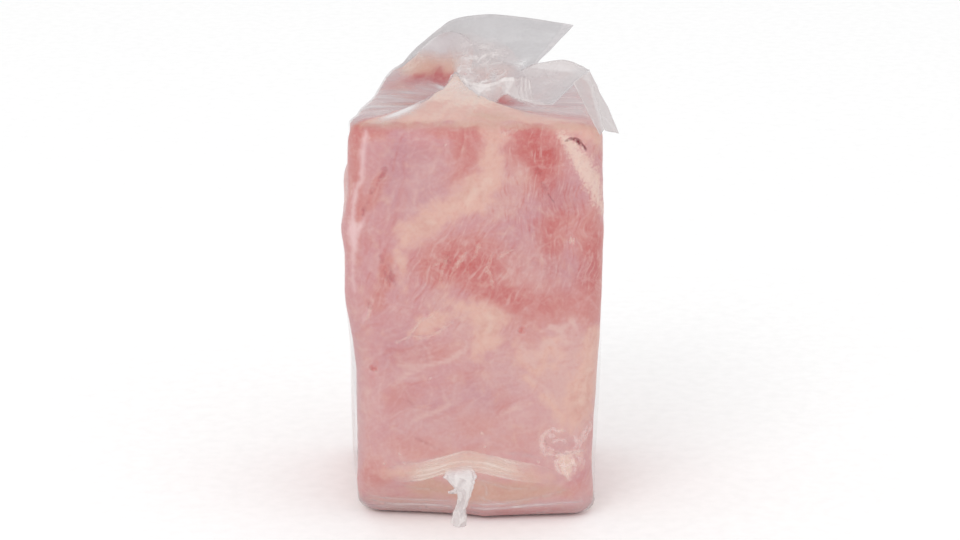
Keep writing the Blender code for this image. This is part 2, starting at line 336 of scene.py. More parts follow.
# Soft oval spots on the front, each with its centre and its reach in mm, its turn in degrees and its amount:
# darker and redder lean, mauve lean, paler lean, tan edges, a milky veil of fat, and nets of sinew. Low along
# the foot the darker lean and the tan make the meat darker towards the floor.
FRONT_DEEP = (
    (-50.5, 150, 3.5, 34, 0, 0.6), (-2.5, 166, 7, 10, 0, 0.95), (-9, 154, 8, 3, 20, 0.5),
    (-14, 174, 8, 3, -8, 0.5), (-43, 174, 9, 3.5, 15, 0.6), (24, 166, 10, 10, -30, 1.6),
    (29, 157, 5, 8, -15, 0.5), (30, 152, 8, 14, 15, 0.45), (31, 126, 5, 14, 0, 1.15),
    (40, 136, 9, 16, 25, 0.35), (49.5, 124, 5, 14, 0, 0.85), (48, 104, 6, 17, 0, 1.0),
    (-8, 118, 17, 10, 12, 1.1), (10, 112, 14, 12, 0, 0.7), (26, 98, 17, 9, 0, 0.95),
    (8, 104, 10, 6, 0, 0.55), (-38, 113, 3.2, 9, -8, 0.8), (-42, 100, 4, 5, 0, 0.4),
    (-31, 58, 9, 6, 15, 0.35), (-24, 34, 13, 6, -8, 0.65), (0, 45, 9, 5, 8, 0.65), (11, 54, 4, 8, 0, 0.5),
    (27, 66, 4, 4, 0, 0.6), (22, 82, 6, 4, 0, 0.5), (-43, 23, 6, 7, 0, 1.0), (-20, 76, 16, 4.5, 3, 0.6),
    (-22, 50, 10, 2.5, 12, 0.35), (42, 14, 7, 4, 10, 0.35), (10, 3, 22, 3.2, 0, 1.2),
    (34, 4, 14, 2.2, 5, 1.0), (-43, 146, 3, 7, -25, 0.55), (-40, 153, 2.2, 4.5, -28, 0.9),
    (0, 33, 20, 2, 0, 0.35), (-30, 5, 18, 5, -5, 0.5), (18, 38, 12, 5, 15, 0.35), (-2, 66, 10, 5, 0, 0.35),
)
FRONT_MAUVE = (
    (-25, 150, 16, 20, 0, 0.9), (-32, 165, 5, 12, 0, 0.5), (-18, 49, 22, 14, 10, 0.6),
    (-31, 78, 16, 14, 0, 0.6), (18, 130, 12, 16, 0, 0.6), (8, 63, 16, 16, 0, 0.6), (-20, 9, 24, 6, 0, 0.5),
    (37, 35, 8, 5.5, 0, 1.1), (36, 146, 12, 9, 0, 0.8), (42, 112, 10, 12, 0, 0.4),
    (30, 112, 14, 10, 0, 0.5),
)
FRONT_PALE = (
    (20, 75, 22, 18, 0, 0.4), (43, 62, 14, 26, 0, 0.95), (0, 88, 14, 10, 0, 0.5), (15, 152, 9, 12, 0, 0.55),
    (8, 140, 12, 7, 0, 0.5), (-14, 98, 12, 6, -20, 0.5), (-47, 60, 3, 40, 0, 0.4),
)
FRONT_TAN = (
    (-21, 16, 9, 5, 0, 0.95), (-3, 14, 10, 6, 0, 1.1), (14, 13, 14, 6, -6, 1.1), (33, 14, 9, 4, -8, 0.6),
    (9, 178.3, 11, 1.4, -4, 1.3), (52, 168, 4, 10, 0, 0.3), (-28, 6, 24, 5, 0, 0.55),
)
# A milky veil of fat, and a painted highlight: the thin tall spot at the left edge
FRONT_MILK_AND_SHEEN = (
    (0, 60, 62, 34, 0, 0.45), (0, 30, 60, 18, 0, 0.5), (40, 60, 16, 30, 0, 0.5),
    (-10, 150, 30, 18, 30, 0.35), (-46, 90, 6, 60, 0, 0.15), (-30, 10, 26, 8, 0, 0.6),
    (34, 10, 24, 7, 0, 0.5), (22, 112, 14, 12, 0, 0.5),
)
FRONT_SINEW = (
    (32, 136, 20, 34, 0, 0.5), (-5, 118, 24, 13, 0, 0.7), (16, 112, 20, 16, 0, 0.7),
    (-30, 35, 20, 20, 0, 0.35), (-28, 100, 12, 14, 0, 0.4), (0, 60, 40, 24, 0, 0.3),
    (-30, 150, 18, 26, 0, 0.3), (40, 35, 12, 18, 0, 0.6),
)

# Thin marks on the front: lines through points in mm, as above
PALE_LINES = (
    [(-27.5, 85.5), (-25, 89.5), (-20.5, 93), (-15.5, 96)],
    [(-27.5, 85.5), (-22.5, 83.5), (-17.5, 85.5), (-9.5, 91)], [(-34, 81.5), (-27.5, 85)],
    [(-15.5, 108.5), (-12, 120)], [(-18.5, 115.5), (-11.5, 119.5)], [(-7.5, 115), (-4, 122)],
    [(-1.5, 117.5), (1.5, 125.5)], [(-11, 111), (-7, 118)], [(4, 112), (7, 121)], [(-46, 92), (-44, 98)],
    [(10.5, 171.6), (13.5, 172.4), (17.5, 173.4)], [(4.6, 115), (6.4, 110), (6.6, 105.5)],
    [(9.5, 119), (12, 121), (16, 122.5)],
)
PALE_BANDS = (
    [(-33, 71), (-22, 71), (-12, 73.5), (-5, 78), (1, 81)], [(-28, 46), (-17, 50.5), (-7, 55)],
    [(-24, 43.5), (-14, 48)], [(23, 66), (29, 61), (34, 54)], [(-36, 62), (-30, 68), (-22, 69.5)],
    [(9, 47), (16, 52), (24, 54)], [(-20, 91), (-16, 93.5)], [(-23, 87), (-18, 88.5)],
    [(36, 86), (41, 91), (43, 84)], [(12, 175.5), (17, 176.5)],
    [(18, 84), (19.5, 79), (21.5, 74), (24.5, 71), (27, 72)],
    [(25, 71), (28, 78), (31.5, 81.8), (35, 79), (35, 72)], [(22.5, 76), (25, 73), (27.5, 75.5)],
    [(28, 86), (32, 88), (36, 86), (39, 81)],
)
CURD_LINES = (
    [(38, 41.6), (35, 41.2), (32.2, 42.5), (29.1, 39.7), (28, 35.2), (29.6, 31.3), (34.3, 30.2)],
    [(34.3, 30.2), (39.1, 31.6), (46.4, 32.1)], [(44.3, 33), (45.4, 38.6), (48, 42.5)],
    [(35.2, 29), (34.2, 25.5), (36.6, 21.6)], [(37.5, 29), (38, 24), (40.5, 18.8)],
    [(40.5, 30), (42.4, 26), (42.2, 22.6)], [(43, 30), (45.4, 27.5), (46, 25.4)],
    [(32.5, 36), (35.5, 37.4), (38.5, 36.2)], [(30.5, 39.5), (33.5, 39.2)],
    [(41.8, 33.5), (43, 36), (42.2, 39)], [(46.5, 36), (48.6, 39.8), (49.5, 44)],
    [(31, 33.5), (33.4, 32.6)], [(36, 26.5), (39, 25.6), (42, 27)],
)
# The fissures, drawn dark as the painted shade in their gaps
DARK_LINES = ([(37, 169.6), (40.5, 169.8), (44, 168), (46, 165.2)],)
FAINT_LINES = (
    [(33, 31.8), (37, 31.2), (41, 31.7), (46, 31.4)], [(29.5, 37), (30.5, 34.5)], [(30, 147), (32.5, 143)],
)
DARK_BANDS = (
    [(-38, 158), (-39, 154.5), (-41, 151)], [(-45, 144), (-47, 140)], [(-26, 39), (-11, 31)],
    [(32, 166), (33, 158)], [(-37, 117), (-35.5, 110), (-33, 107)], [(-29, 56), (-26, 53)],
    [(-30, 80.5), (-20, 80.5)],
)
RED_SPOTS = ([(-43.5, 70), (-43.4, 70.4)], [(19.3, 86.2), (19.5, 87.4)])
WHITE_SPOTS = (
    [(39.6, 125), (40.2, 128)], [(41, 124.6), (41.3, 127.4)], [(-19.8, 65), (-19, 66.3)],
    [(2.2, 40.4), (3, 40.6)], [(-13, 168), (-12.6, 168.3)], [(-39.5, 27.5), (-39.3, 27.8)],
    [(-32.8, 31.7), (-32.6, 31.9)], [(3.8, 34.6), (4.2, 34.7)], [(26.5, 27.2), (26.8, 27.4)],
    [(-30.5, 28), (-30.3, 28.1)],
)
DARK_STRANDS = (
    [(-37.9, 158.8), (-38.6, 156.6), (-40.2, 154.6)], [(-42.8, 149.6), (-43.6, 147.6)],
    [(-46.4, 140.6), (-47.2, 138)], [(-40.2, 121), (-39.2, 117.6)], [(-38.3, 113.6), (-36.4, 107.6)],
    [(-45, 100), (-44.2, 97.5)], [(25.6, 158), (26.4, 155)], [(27.4, 151.6), (29, 148.4)],
    [(-12.8, 120), (-11, 116.8)],
)

# Whole muscles pressed together, for the faces that the photo does not show:
# centre in mm, redness, mauve, paleness and grain
MUSCLES = (
    ((-30, -30, 150), 0.35, 0.7, 0.1, 0), ((30, -30, 140), 0.9, 0.2, 0.0, 1),
    ((-5, -35, 112), 1.0, 0.1, 0.0, 2), ((-25, -30, 60), 0.25, 0.7, 0.2, 3),
    ((30, -30, 60), 0.15, 0.2, 0.8, 3), ((-42, 12, 120), 0.7, 0.3, 0.0, 1),
    ((-44, 10, 60), 0.3, 0.8, 0.2, 2), ((-30, 42, 150), 0.2, 0.5, 0.3, 0),
    ((8, 48, 120), 0.85, 0.2, 0.0, 1), ((40, 40, 155), 0.3, 0.6, 0.1, 2), ((46, 8, 105), 0.95, 0.0, 0.0, 1),
    ((40, 30, 50), 0.2, 0.6, 0.4, 3), ((-12, 46, 52), 0.5, 0.6, 0.0, 0), ((2, 12, 4), 0.5, 0.4, 0.2, 2),
    ((-34, 30, 14), 0.8, 0.1, 0.0, 1), ((46, -8, 30), 0.6, 0.3, 0.2, 0), ((0, 20, 182), 0.1, 0.1, 0.9, 3),
    ((-38, 10, 176), 0.6, 0.5, 0.0, 0), ((38, 16, 178), 0.3, 0.6, 0.3, 2),
)
# Where two muscles meet: how far their bounds waver, over what length, how softly they blend, and the half
# width of the fat between them and how much that varies
BOUND_WAVER, WAVER_LENGTH, BOUND_BLEND, SEAM_HALF, SEAM_VARIES = 11.0, 28.0, 2.5, 1.5, 1.6
# Pools of fat and curds of cream-white fat on the hidden faces: their size, how rare they are, and how deep
POOLS, CURDS = (30.0, 0.36, 22.0), (19.0, 0.50, 14.0)
# Depths in fat are told apart between these
SHALLOW, DEEP_IN = -6.0, 12.0
# Where the front's drawing passes into the hidden faces, in mm before the middle, and over what length
FRONT_START, FRONT_FADE = 34.0, 12.0
# Clear hollows in the top behind the pleat, where lean shows, painted darker as the shade in them: centre and
# reach in mm along X and Y
POCKETS = ((-22.0, 8.4, 9.0, 3.0), (-12.0, 5.2, 7.0, 2.9), (13.0, -10.0, 9.0, 9.0))


def in_pockets(x, y):
    """How far each place, in mm, lies inside the clear hollows of the top, painted darker as shade: from 0 to
    1.
    """
    return np.minimum(1.0, sum(bell(np.hypot((x - px) / rx, (y - py) / ry)) for px, py, rx, ry in POCKETS))


def whole_muscles(point):
    """The share that each muscle has of each point, and how deep the point lies in the fat between them."""
    waver = [lumps(point, WAVER_LENGTH * MM, 5.0 + axis) for axis in range(3)]
    warped = point / MM + BOUND_WAVER * np.stack(waver, axis=1)
    away = np.stack([np.linalg.norm(warped - np.array(muscle[0]), axis=1) for muscle in MUSCLES], axis=1)
    nearest, second = np.sort(away, axis=1)[:, :2].T
    blend = np.exp(-(away - nearest[:, None]) / BOUND_BLEND)
    blend /= blend.sum(axis=1)[:, None]
    seams = SEAM_HALF + SEAM_VARIES * lumps(point, 0.022, 9.0) - (second - nearest) / 2
    size, rarity, depth = POOLS
    return blend, np.maximum(seams, (lumps(point, size * MM, 21.0) - rarity) * depth)


def meat_fields(point):
    """What the meat is made of at each point: how deep in fat or cream-white fat, and its tones and grain."""
    x, y, z = point.T / MM
    front = ease((-y - FRONT_START) / FRONT_FADE)
    blend, fat_round = whole_muscles(point)
    deep_round, mauve_round, pale_round = (blend @ np.array([muscle[1:4] for muscle in MUSCLES])).T
    size, rarity, depth = CURDS
    cream_round = (lumps(point, size * MM, 31.0) - rarity) * depth
    fat_front, cream_front, edge_highlight_front = [
        np.clip(deepest(x, z, chains), SHALLOW, DEEP_IN) for chains in (FRONT_FAT, FRONT_CREAM, FRONT_EDGE_HIGHLIGHT)]

    def mixed(on_front, on_others):
        return front * on_front + (1.0 - front) * on_others

    # How far up and back a place lies at the front's upper edge, which is uneven
    up = z + TOP_SLOPE * x + 0.25 * np.maximum(0.0, y + 49.0)
    top = ease((up - 175.7 + 1.6 * lumps(point, 0.006, 71.0) + 1.4 * lumps(point, 0.016, 72.0)) / 3.0)
    edge = bell((up - 176.0 + 1.2 * lumps(point, 0.012, 73.0)) / 1.9) * ease((-y - 38.0) / 6.0)
    # The parts of the top: the pleat, what lies behind it, the dome there, and the hollows, whose meat is
    # painted darker as shade
    line, _ = pleat_line(point[:, 0])
    behind = ease((y - line / MM - 1.0) / 5.0)
    pleat = top * (1.0 - behind)
    dome = top * behind * ease((z - 182.9 - np.clip(0.11 * (x + 26.0), -1.0, 2.0)) / 2.4)
    pocket = top * behind * in_pockets(x, y)
    clear = 1.0 - np.minimum(1.0, 1.3 * pocket)
    apron = (1.0 - behind) * bell(np.hypot((x + 5.0) / 22.0, (y + 26.0) / 15.0))

    fat = mixed(fat_front, np.clip(fat_round, SHALLOW, DEEP_IN)) - 14.0 * pocket
    cream = mixed(cream_front, np.clip(cream_round, SHALLOW, DEEP_IN)) * (1.0 - top) + SHALLOW * top
    deep_front = 0.12 + tones(x, z, FRONT_DEEP) + edge * ease(0.5 + 1.6 * lumps(point, 0.013, 74.0))
    hidden_tan, hidden_sinew = ease(lumps(point, 0.04, 41.0)), ease(lumps(point, 0.035, 51.0) + 0.3)
    wavering = [place + 1.2 * lumps(point, 0.008, seed) for place, seed in ((x, 61.0), (z, 62.0))]
    pale_band, dark_band = [
        ease(0.5 + deepest(*wavering, [(path, [0.2, *[1.0] * (len(path) - 2), 0.2]) for path in paths]) / 3.0)
        for paths in (PALE_BANDS, DARK_BANDS)]
    fields = {
        # In the hollows the meat is painted redder and darker as shade, through deep and band
        "fat": np.maximum(fat, 9.0 * np.maximum(dome * clear, pleat) - 3.0),
        "cream": cream + top * np.maximum(10.5 * apron, 6.6 * dome * clear),
        "deep": mixed(deep_front, 0.9 * deep_round) * (1.0 - top) + 0.3 * top + 3.6 * pocket,
        "mauve": mixed(tones(x, z, FRONT_MAUVE), mauve_round),
        "pale": mixed(tones(x, z, FRONT_PALE), pale_round) * (1.0 - pocket),
        "milk_and_sheen": mixed(tones(x, z, FRONT_MILK_AND_SHEEN), 0.35) * (1.0 - 0.6 * pocket),
        "tan": mixed(tones(x, z, FRONT_TAN), 0.4 * hidden_tan) + 0.55 * edge + 0.55 * dome,
        # The painted highlight along the left edge, on the front only
        "edge_highlight": edge_highlight_front * ease((-y - 30.0) / 4.0) + SHALLOW * ease((y + 34.0) / 4.0),
        "band": front * (pale_band - dark_band) * (1.0 - top) - 0.8 * pocket,
        "sinew": mixed(tones(x, z, FRONT_SINEW), 0.35 + 0.5 * hidden_sinew) * (1.0 - 0.7 * top),
    }
    for grain in range(len(GRAINS)):
        chosen = blend @ np.array([float(muscle[4] == grain) for muscle in MUSCLES])
        fields[f"grain{grain}"] = chosen * (1.0 - 0.6 * top)
    return fields


# ------------ materials

# Colours of the meat itself, without the gloss that lightens it, and one pale pink for a painted highlight
LEAN, RED, DEEP, DARK, MAUVE, PALE = "#c18c8f", "#c07f7b", "#b65755", "#984653", "#b38189", "#c99f97"
TAN, FAT, FAT_PINK, SINEW, CREAM, MILK = "#c29d8a", "#d3aa9d", "#c5968c", "#cfaba5", "#dfc9bb", "#d0aea9"
# The fissures' dark red is painted shade in their gaps
EDGE_HIGHLIGHT_PINK, CURD, SPOT, FISSURE_SHADE, STRAND = "#dfc2c3", "#e0c9c5", "#b84f46", "#660820", "#983241"

# Cloudy patterns: size of a cloud in mm, detail and roughness. The bent ones follow the pull of the muscles,
# which shifts them by up to BEND mm over BEND_LENGTH mm.
MEAT_CLOUDS = {"clouds": (13.0, 3.0, 0.55), "specks": (1.3, 3.0, 0.60)}
BENT_CLOUDS = {"blotches": (5.0, 4.0, 0.55), "grit": (3.2, 3.0, 0.60), "veils": (11.0, 5.0, 0.60)}
BEND, BEND_LENGTH = 9.0, 15.0
# Fibre directions: the field that says where, degrees from upright, width of a fibre in mm, and strength.
# Real fibres are about a third as wide, too fine to show, so they are drawn this coarse.
GRAINS = (("grain0", 14.0, 3.0, 0.6), ("grain1", 4.0, 1.1, 1.0), ("grain2", 28.0, 1.3, 1.0),
          ("grain3", 70.0, 3.4, 0.6))
# How many times as long as wide a fibre shows
FIBRE_LENGTH = 7.0
# Nets of thin sinew: width of a mesh in mm, how many times as long, degrees from upright, and how thick a
# thread is, as a share of the cloud's height
NETS = (("webs", 6.0, 2.8, 4.0, 0.070), ("webs", 4.4, 2.6, 24.0, 0.075), ("webs", 9.0, 2.0, 50.0, 0.045),
        ("wisps", 13.0, 2.2, 62.0, 0.040), ("wisps", 20.0, 1.6, -20.0, 0.026))
# Layers of colour, from the lean up: name, colour, what is added up, the sum where the layer starts, the sum
# where it is full, and its strength
MEAT_LAYERS = (
    ("red", RED, {"deep": 1.0, "clouds": 0.7, "blotches": 0.5}, 0.60, 1.25, 1.0),
    ("dense", DEEP, {"deep": 1.0, "clouds": 0.7, "blotches": 0.5}, 0.90, 2.50, 1.0),
    ("bluish", MAUVE, {"mauve": 1.0, "clouds": -0.6, "blotches": 0.4}, -0.05, 0.85, 0.6),
    ("light", PALE, {"pale": 1.0, "blotches": 0.9}, 0.45, 1.35, 0.75),
    ("fibres", SINEW, {"pale_streaks": 1.0}, 0.0, 1.0, 0.42),
    ("gaps", DEEP, {"dark_streaks": 1.0}, 0.0, 1.0, 0.42),
    ("veiled", MILK, {"milk_and_sheen": 1.0, "veils": 1.6, "clouds": 0.5}, 0.95, 1.85, 0.42),
    ("threads", SINEW, {"webbed": 1.0, "grit": 0.8}, 0.40, 1.6, 0.30),
    ("wisped", MILK, {"wisps": 1.0}, 0.0, 0.9, 0.28),
    ("fatty", FAT, {"fat": 1.0, "blotches": 11.0, "specks": 2.0}, 3.6, 10.0, 0.90),
    ("pink_fat", FAT_PINK, {"fatty": 1.0, "clouds": 1.6}, 1.58, 2.0, 0.55),
    ("buttery", CREAM, {"fat": 0.8, "blotches": 13.0, "specks": 1.5}, 10.6, 14.4, 0.32),
    ("browned", TAN, {"tan": 1.0, "blotches": 0.8}, 0.4, 1.4, 0.75),
    ("banded", SINEW, {"band": 1.0, "blotches": 0.9}, 0.5, 1.4, 0.80),
    # Dark bands of the meat, and painted shade in the hollows of the top
    ("dark_band_and_shade", DARK, {"band": -1.0, "blotches": -0.8}, -0.3, 0.6, 0.45),
    ("curd", CREAM, {"cream": 1.0, "blotches": 5.0, "specks": 9.0, "grit": 4.0}, 7.7, 11.6, 0.74),
    ("ruddy", RED, {"grit": 1.0}, 0.50, 0.72, 0.20),
    ("milky", MILK, {"grit": -1.0}, -0.50, -0.28, 0.24),
    ("dotted", RED, {"specks": 1.0}, 0.50, 0.72, 0.20),
    ("speckled", MILK, {"specks": -1.0}, -0.50, -0.28, 0.22),
    # The pale pink strip of painted highlight along the left edge
    ("edge_highlighted", EDGE_HIGHLIGHT_PINK, {"edge_highlight": 1.0, "blotches": 3.4, "specks": 0.8}, 1.0, 4.4, 0.72),
)
# What raises the surface of the meat, and how much
MEAT_RELIEF = {"blotches": 0.5, "specks": 0.25, "pale_streaks": 0.2, "curd": 0.5, "webbed": 0.3}
MEAT_FIELDS = ("fat", "cream", "deep", "mauve", "pale", "tan", "milk_and_sheen", "sinew", "band", "edge_highlight",
               "grain0", "grain1", "grain2", "grain3")

# The film where it is tight, loose, gathered and folded: its tint, its tint in a crease, the size of its
# crinkles in mm, and its roughness
FILMS = (
    ("clear_shrink_film", "#b0a6a9", "#d6cfcf", 7.0, 0.16),
    ("loose_shrink_film", "#b6b3b5", "#d4cfd0", 4.0, 0.22),
    ("gathered_shrink_film", "#bfb5b5", "#dcd6d5", 4.0, 0.22),
    ("folded_shrink_film", "#cfbdb1", "#e6dad5", 4.0, 0.34),
)


def linear(code):
    """A #rrggbb colour as linear light, with full opacity."""
    parts = [int(code[i:i + 2], 16) / 255 for i in (1, 3, 5)]
    return (*[p / 12.92 if p <= 0.04045 else ((p + 0.055) / 1.055) ** 2.4 for p in parts], 1.0)


def add(tree, kind, inputs=None, **settings):
    """Adds a node. inputs gives each input, by name or number, a value or the output that feeds it."""
    made = tree.nodes.new("ShaderNode" + kind)
    for name, value in settings.items():
        setattr(made, name, value)
    for key, value in (inputs or {}).items():
        if isinstance(value, bpy.types.NodeSocket):
            tree.links.new(value, made.inputs[key])
        else:
            made.inputs[key].default_value = value
    return made


def new_material(name, finish):
    """An empty material whose Principled shader has this finish, and the coordinates of the object itself."""
    material = bpy.data.materials.new(name)
    material.use_nodes = True
    tree = material.node_tree
    shader = tree.nodes["Principled BSDF"]
    for socket, value in finish.items():
        shader.inputs[socket].default_value = value
    return material, tree, shader, add(tree, "TexCoord").outputs["Object"]


def clouded(tree, here, patterns):
    """Cloudy variation from 0 to 1 for each named pattern."""
    made = {}
    for name, (size, detail, rough) in patterns.items():
        where = add(tree, "VectorMath", {0: here, "Scale": 1.0 / (size * MM)}, operation="SCALE").outputs[0]
        cloud = {"Vector": where, "Scale": 1.0, "Detail": detail, "Roughness": rough}
        made[name] = add(tree, "TexNoise", cloud).outputs["Fac"]
    return made


def totalled(tree, sources, weights, total=0.0):
    """The sum of the named sources, each by its weight."""
    for name, weight in weights.items():
        term = {0: sources[name], 1: weight, 2: total}
        total = add(tree, "Math", term, operation="MULTIPLY_ADD").outputs[0]
    return total


def layered(tree, sources, ground, layers):
    """Lays the colours of the layers over a ground colour, and keeps each one's share as a source."""
    for name, colour, weights, low, high, strength in layers:
        total = totalled(tree, sources, weights)
        ramp = {"Value": total, "From Min": low, "From Max": high, "To Max": strength}
        share = add(tree, "MapRange", ramp, interpolation_type="SMOOTHSTEP").outputs["Result"]
        mix = {"Factor": share, 6: ground, 7: linear(colour)}
        ground = add(tree, "Mix", mix, data_type="RGBA").outputs[2]
        sources[name] = share
    return ground


def fibres_and_nets(tree, here, bent, sources):
    """Adds the streaks of the muscle fibres and the nets of sinew to the sources."""
    sources.update(pale_streaks=0.0, dark_streaks=0.0, webs=0.0, wisps=0.0)
    streaks = [(name, across, FIBRE_LENGTH, turn, strength, None) for name, turn, across, strength in GRAINS]
    nets = [(name, across, longer, turn, 1.0, thickness) for name, across, longer, turn, thickness in NETS]
    for name, across, longer, turn, strength, thickness in streaks + nets:
        # Stretched clouds, seen from the front at this turn from upright
        place = {"Vector": here if name == "webs" else bent, "Rotation": (0.0, math.radians(turn), 0.0),
                 "Scale": (across * MM, across * 4 * MM, across * longer * MM)}
        where = add(tree, "Mapping", place, vector_type="TEXTURE").outputs[0]
        detail = 2.0 if thickness is None else 1.0
        cloud = {"Vector": where, "Scale": 1.0, "Detail": detail, "Distortion": 0.2}
        level = add(tree, "TexNoise", cloud).outputs["Fac"]
        if thickness is None:
            targets = (("pale_streaks", level, 0.52, 0.74, sources[name]),
                       ("dark_streaks", level, 0.48, 0.28, sources[name]))
        else:
            away = add(tree, "Math", {0: level, 1: 0.5}, operation="SUBTRACT").outputs[0]
            away = add(tree, "Math", {0: away}, operation="ABSOLUTE").outputs[0]
            targets = ((name, away, thickness, 0.0, sources["blotches"]),)
        for target, value, low, high, where_shown in targets:
            ramp = {"Value": value, "From Min": low, "From Max": high, "To Max": strength}
            shown = add(tree, "MapRange", ramp, interpolation_type="SMOOTHSTEP").outputs["Result"]
            total = {0: shown, 1: where_shown, 2: sources[target]}
            sources[target] = add(tree, "Math", total, operation="MULTIPLY_ADD").outputs[0]
    sinewy = {0: sources["webs"], 1: sources["sinew"]}
    sources["webbed"] = add(tree, "Math", sinewy, operation="MULTIPLY").outputs[0]


def cooked_pork():
    """Cured pork leg, cooked and pressed in its film.

    Wet meat under clinging film: a soft pink with a little light inside, red-brown where the muscle is dense,
    peach and cream where fat and sinew run, and one even gloss from the film on top.
    """
    material, tree, shader, here = new_material("cured_cooked_pork_leg", {
        "Roughness": 0.42, "IOR": 1.40, "Specular IOR Level": 0.30, "Subsurface Weight": 0.15,
        "Subsurface Radius": (1.0, 0.45, 0.35), "Subsurface Scale": 2.5 * MM,
        "Coat Weight": 0.15, "Coat Roughness": 0.16, "Coat IOR": 1.5})
    wave = add(tree, "VectorMath", {0: here, "Scale": 1.0 / (BEND_LENGTH * MM)}, operation="SCALE").outputs[0]
    wave = add(tree, "TexNoise", {"Vector": wave, "Scale": 1.0, "Detail": 1.0}).outputs["Color"]
    wave = add(tree, "VectorMath", {0: wave, 1: (0.5, 0.5, 0.5)}, operation="SUBTRACT").outputs[0]
    wave = add(tree, "VectorMath", {0: wave, "Scale": BEND * MM}, operation="SCALE").outputs[0]
    bent = add(tree, "VectorMath", {0: here, 1: wave}, operation="ADD").outputs[0]

    sources = {name: add(tree, "Attribute", attribute_name=name).outputs["Fac"] for name in MEAT_FIELDS}
    sources.update(clouded(tree, here, MEAT_CLOUDS))
    sources.update(clouded(tree, bent, BENT_CLOUDS))
    fibres_and_nets(tree, here, bent, sources)
    tree.links.new(layered(tree, sources, linear(LEAN), MEAT_LAYERS), shader.inputs["Base Color"])
    height = totalled(tree, sources, MEAT_RELIEF)
    relief = add(tree, "Bump", {"Height": height, "Strength": 0.35, "Distance": 0.4 * MM}).outputs[0]
    tree.links.new(relief, shader.inputs["Normal"])
    swell = clouded(tree, here, {"swell": (9.0, 2.0, 0.55)})["swell"]
    skin = add(tree, "Bump", {"Height": swell, "Strength": 0.5, "Distance": 0.5 * MM}).outputs[0]
    tree.links.new(skin, shader.inputs["Coat Normal"])
    return material


def shrink_film(name, tint, creased, crinkle_mm, roughness):
    """Blown polyamide and polyethylene film.

    Clear where it lies flat, milky where it is doubled or creased, with sharp small glints on its folds from
    its gloss, and creases drawn whiter, partly as painted highlights.
    Round the neck it is pulled into fine gathers that run towards the knot.
    """
    material, tree, shader, here = new_material(name, {"Roughness": roughness, "IOR": 1.5})
    sources = {field: add(tree, "Attribute", attribute_name=field).outputs["Fac"]
               for field in ("haze", "crease", "pull")}
    sources.update(clouded(tree, here, {"wisps": (crinkle_mm * 1.6, 4.0, 0.55),
                                        "fine": (crinkle_mm * 0.5, 3.0, 0.55)}))

    # Noise that changes with the direction from the neck, and only slowly outwards, gives rays
    from_neck = add(tree, "VectorMath", {0: here, 1: (NECK_X, NECK_Y, 0.0)}, operation="SUBTRACT").outputs[0]
    from_neck = add(tree, "VectorMath", {0: from_neck, 1: (1.0, 1.0, 0.0)}, operation="MULTIPLY").outputs[0]
    round_neck = add(tree, "VectorMath", {0: from_neck}, operation="NORMALIZE").outputs[0]
    round_neck = add(tree, "VectorMath", {0: round_neck, "Scale": GATHERS}, operation="SCALE").outputs[0]
    outward = {0: from_neck, "Scale": 1.0 / GATHER_LENGTH}
    outward = add(tree, "VectorMath", outward, operation="SCALE").outputs[0]
    where = add(tree, "VectorMath", {0: round_neck, 1: outward}, operation="ADD").outputs[0]
    rays = {"Vector": where, "Scale": 1.0, "Detail": 3.0, "Distortion": 0.3}
    rays = add(tree, "TexNoise", rays).outputs["Fac"]
    rays = add(tree, "Math", {0: rays, 1: 0.5}, operation="SUBTRACT").outputs[0]
    rays = add(tree, "Math", {0: rays, 1: sources["pull"]}, operation="MULTIPLY").outputs[0]
    sources["gather"] = rays

    layers = (("streaked", creased, {"crease": 1.0, "wisps": 0.5, "gather": 3.0}, 0.35, 1.25, 1.0),)
    tree.links.new(layered(tree, sources, linear(tint), layers), shader.inputs["Base Color"])
    cloudy = totalled(tree, sources, {"wisps": 0.5, "streaked": 0.9, "gather": 3.2}, 0.75)
    alpha = {0: sources["haze"], 1: cloudy}
    alpha = add(tree, "Math", alpha, operation="MULTIPLY", use_clamp=True).outputs[0]
    tree.links.new(alpha, shader.inputs["Alpha"])
    height = totalled(tree, sources, {"wisps": 1.0, "fine": 0.35, "gather": 2.0})
    relief = add(tree, "Bump", {"Height": height, "Strength": 0.4, "Distance": 0.5 * MM}).outputs[0]
    tree.links.new(relief, shader.inputs["Normal"])
    return material


def strand(name, tint, strength):
    """Sinew, fat, blood, or the painted shade of a gap in the meat's face: one colour that frays out at its
    edges.
    """
    material, tree, shader, here = new_material(name, {
        "Base Color": linear(tint), "Specular IOR Level": 0.15, "Roughness": 0.42, "IOR": 1.40})
    opacity = add(tree, "Attribute", attribute_name="opacity").outputs["Fac"]
    frayed = clouded(tree, here, {"frayed": (1.4, 3.0, 0.55)})["frayed"]
    weakest = 0.35 * strength
    broken = {"Value": frayed, "From Min": 0.30, "From Max": 0.62, "To Min": weakest, "To Max": strength}
    broken = add(tree, "MapRange", broken, interpolation_type="SMOOTHSTEP").outputs["Result"]
    share = add(tree, "Math", {0: opacity, 1: broken}, operation="MULTIPLY", use_clamp=True).outputs[0]
    tree.links.new(share, shader.inputs["Alpha"])
    return material


def painted_board():
    """Matt white studio board: an even pale ground with a faint grain of its paint."""
    material, tree, shader, here = new_material("matt_white_painted_board", {"Roughness": 0.8})
    sources = clouded(tree, here, {"grain": (6.0, 3.0, 0.55)})
    layers = (("worn", "#f6f6f6", {"grain": 1.0}, 0.2, 0.8, 1.0),)
    tree.links.new(layered(tree, sources, linear("#fbfbfb"), layers), shader.inputs["Base Color"])
    return material


# ------------ the meat

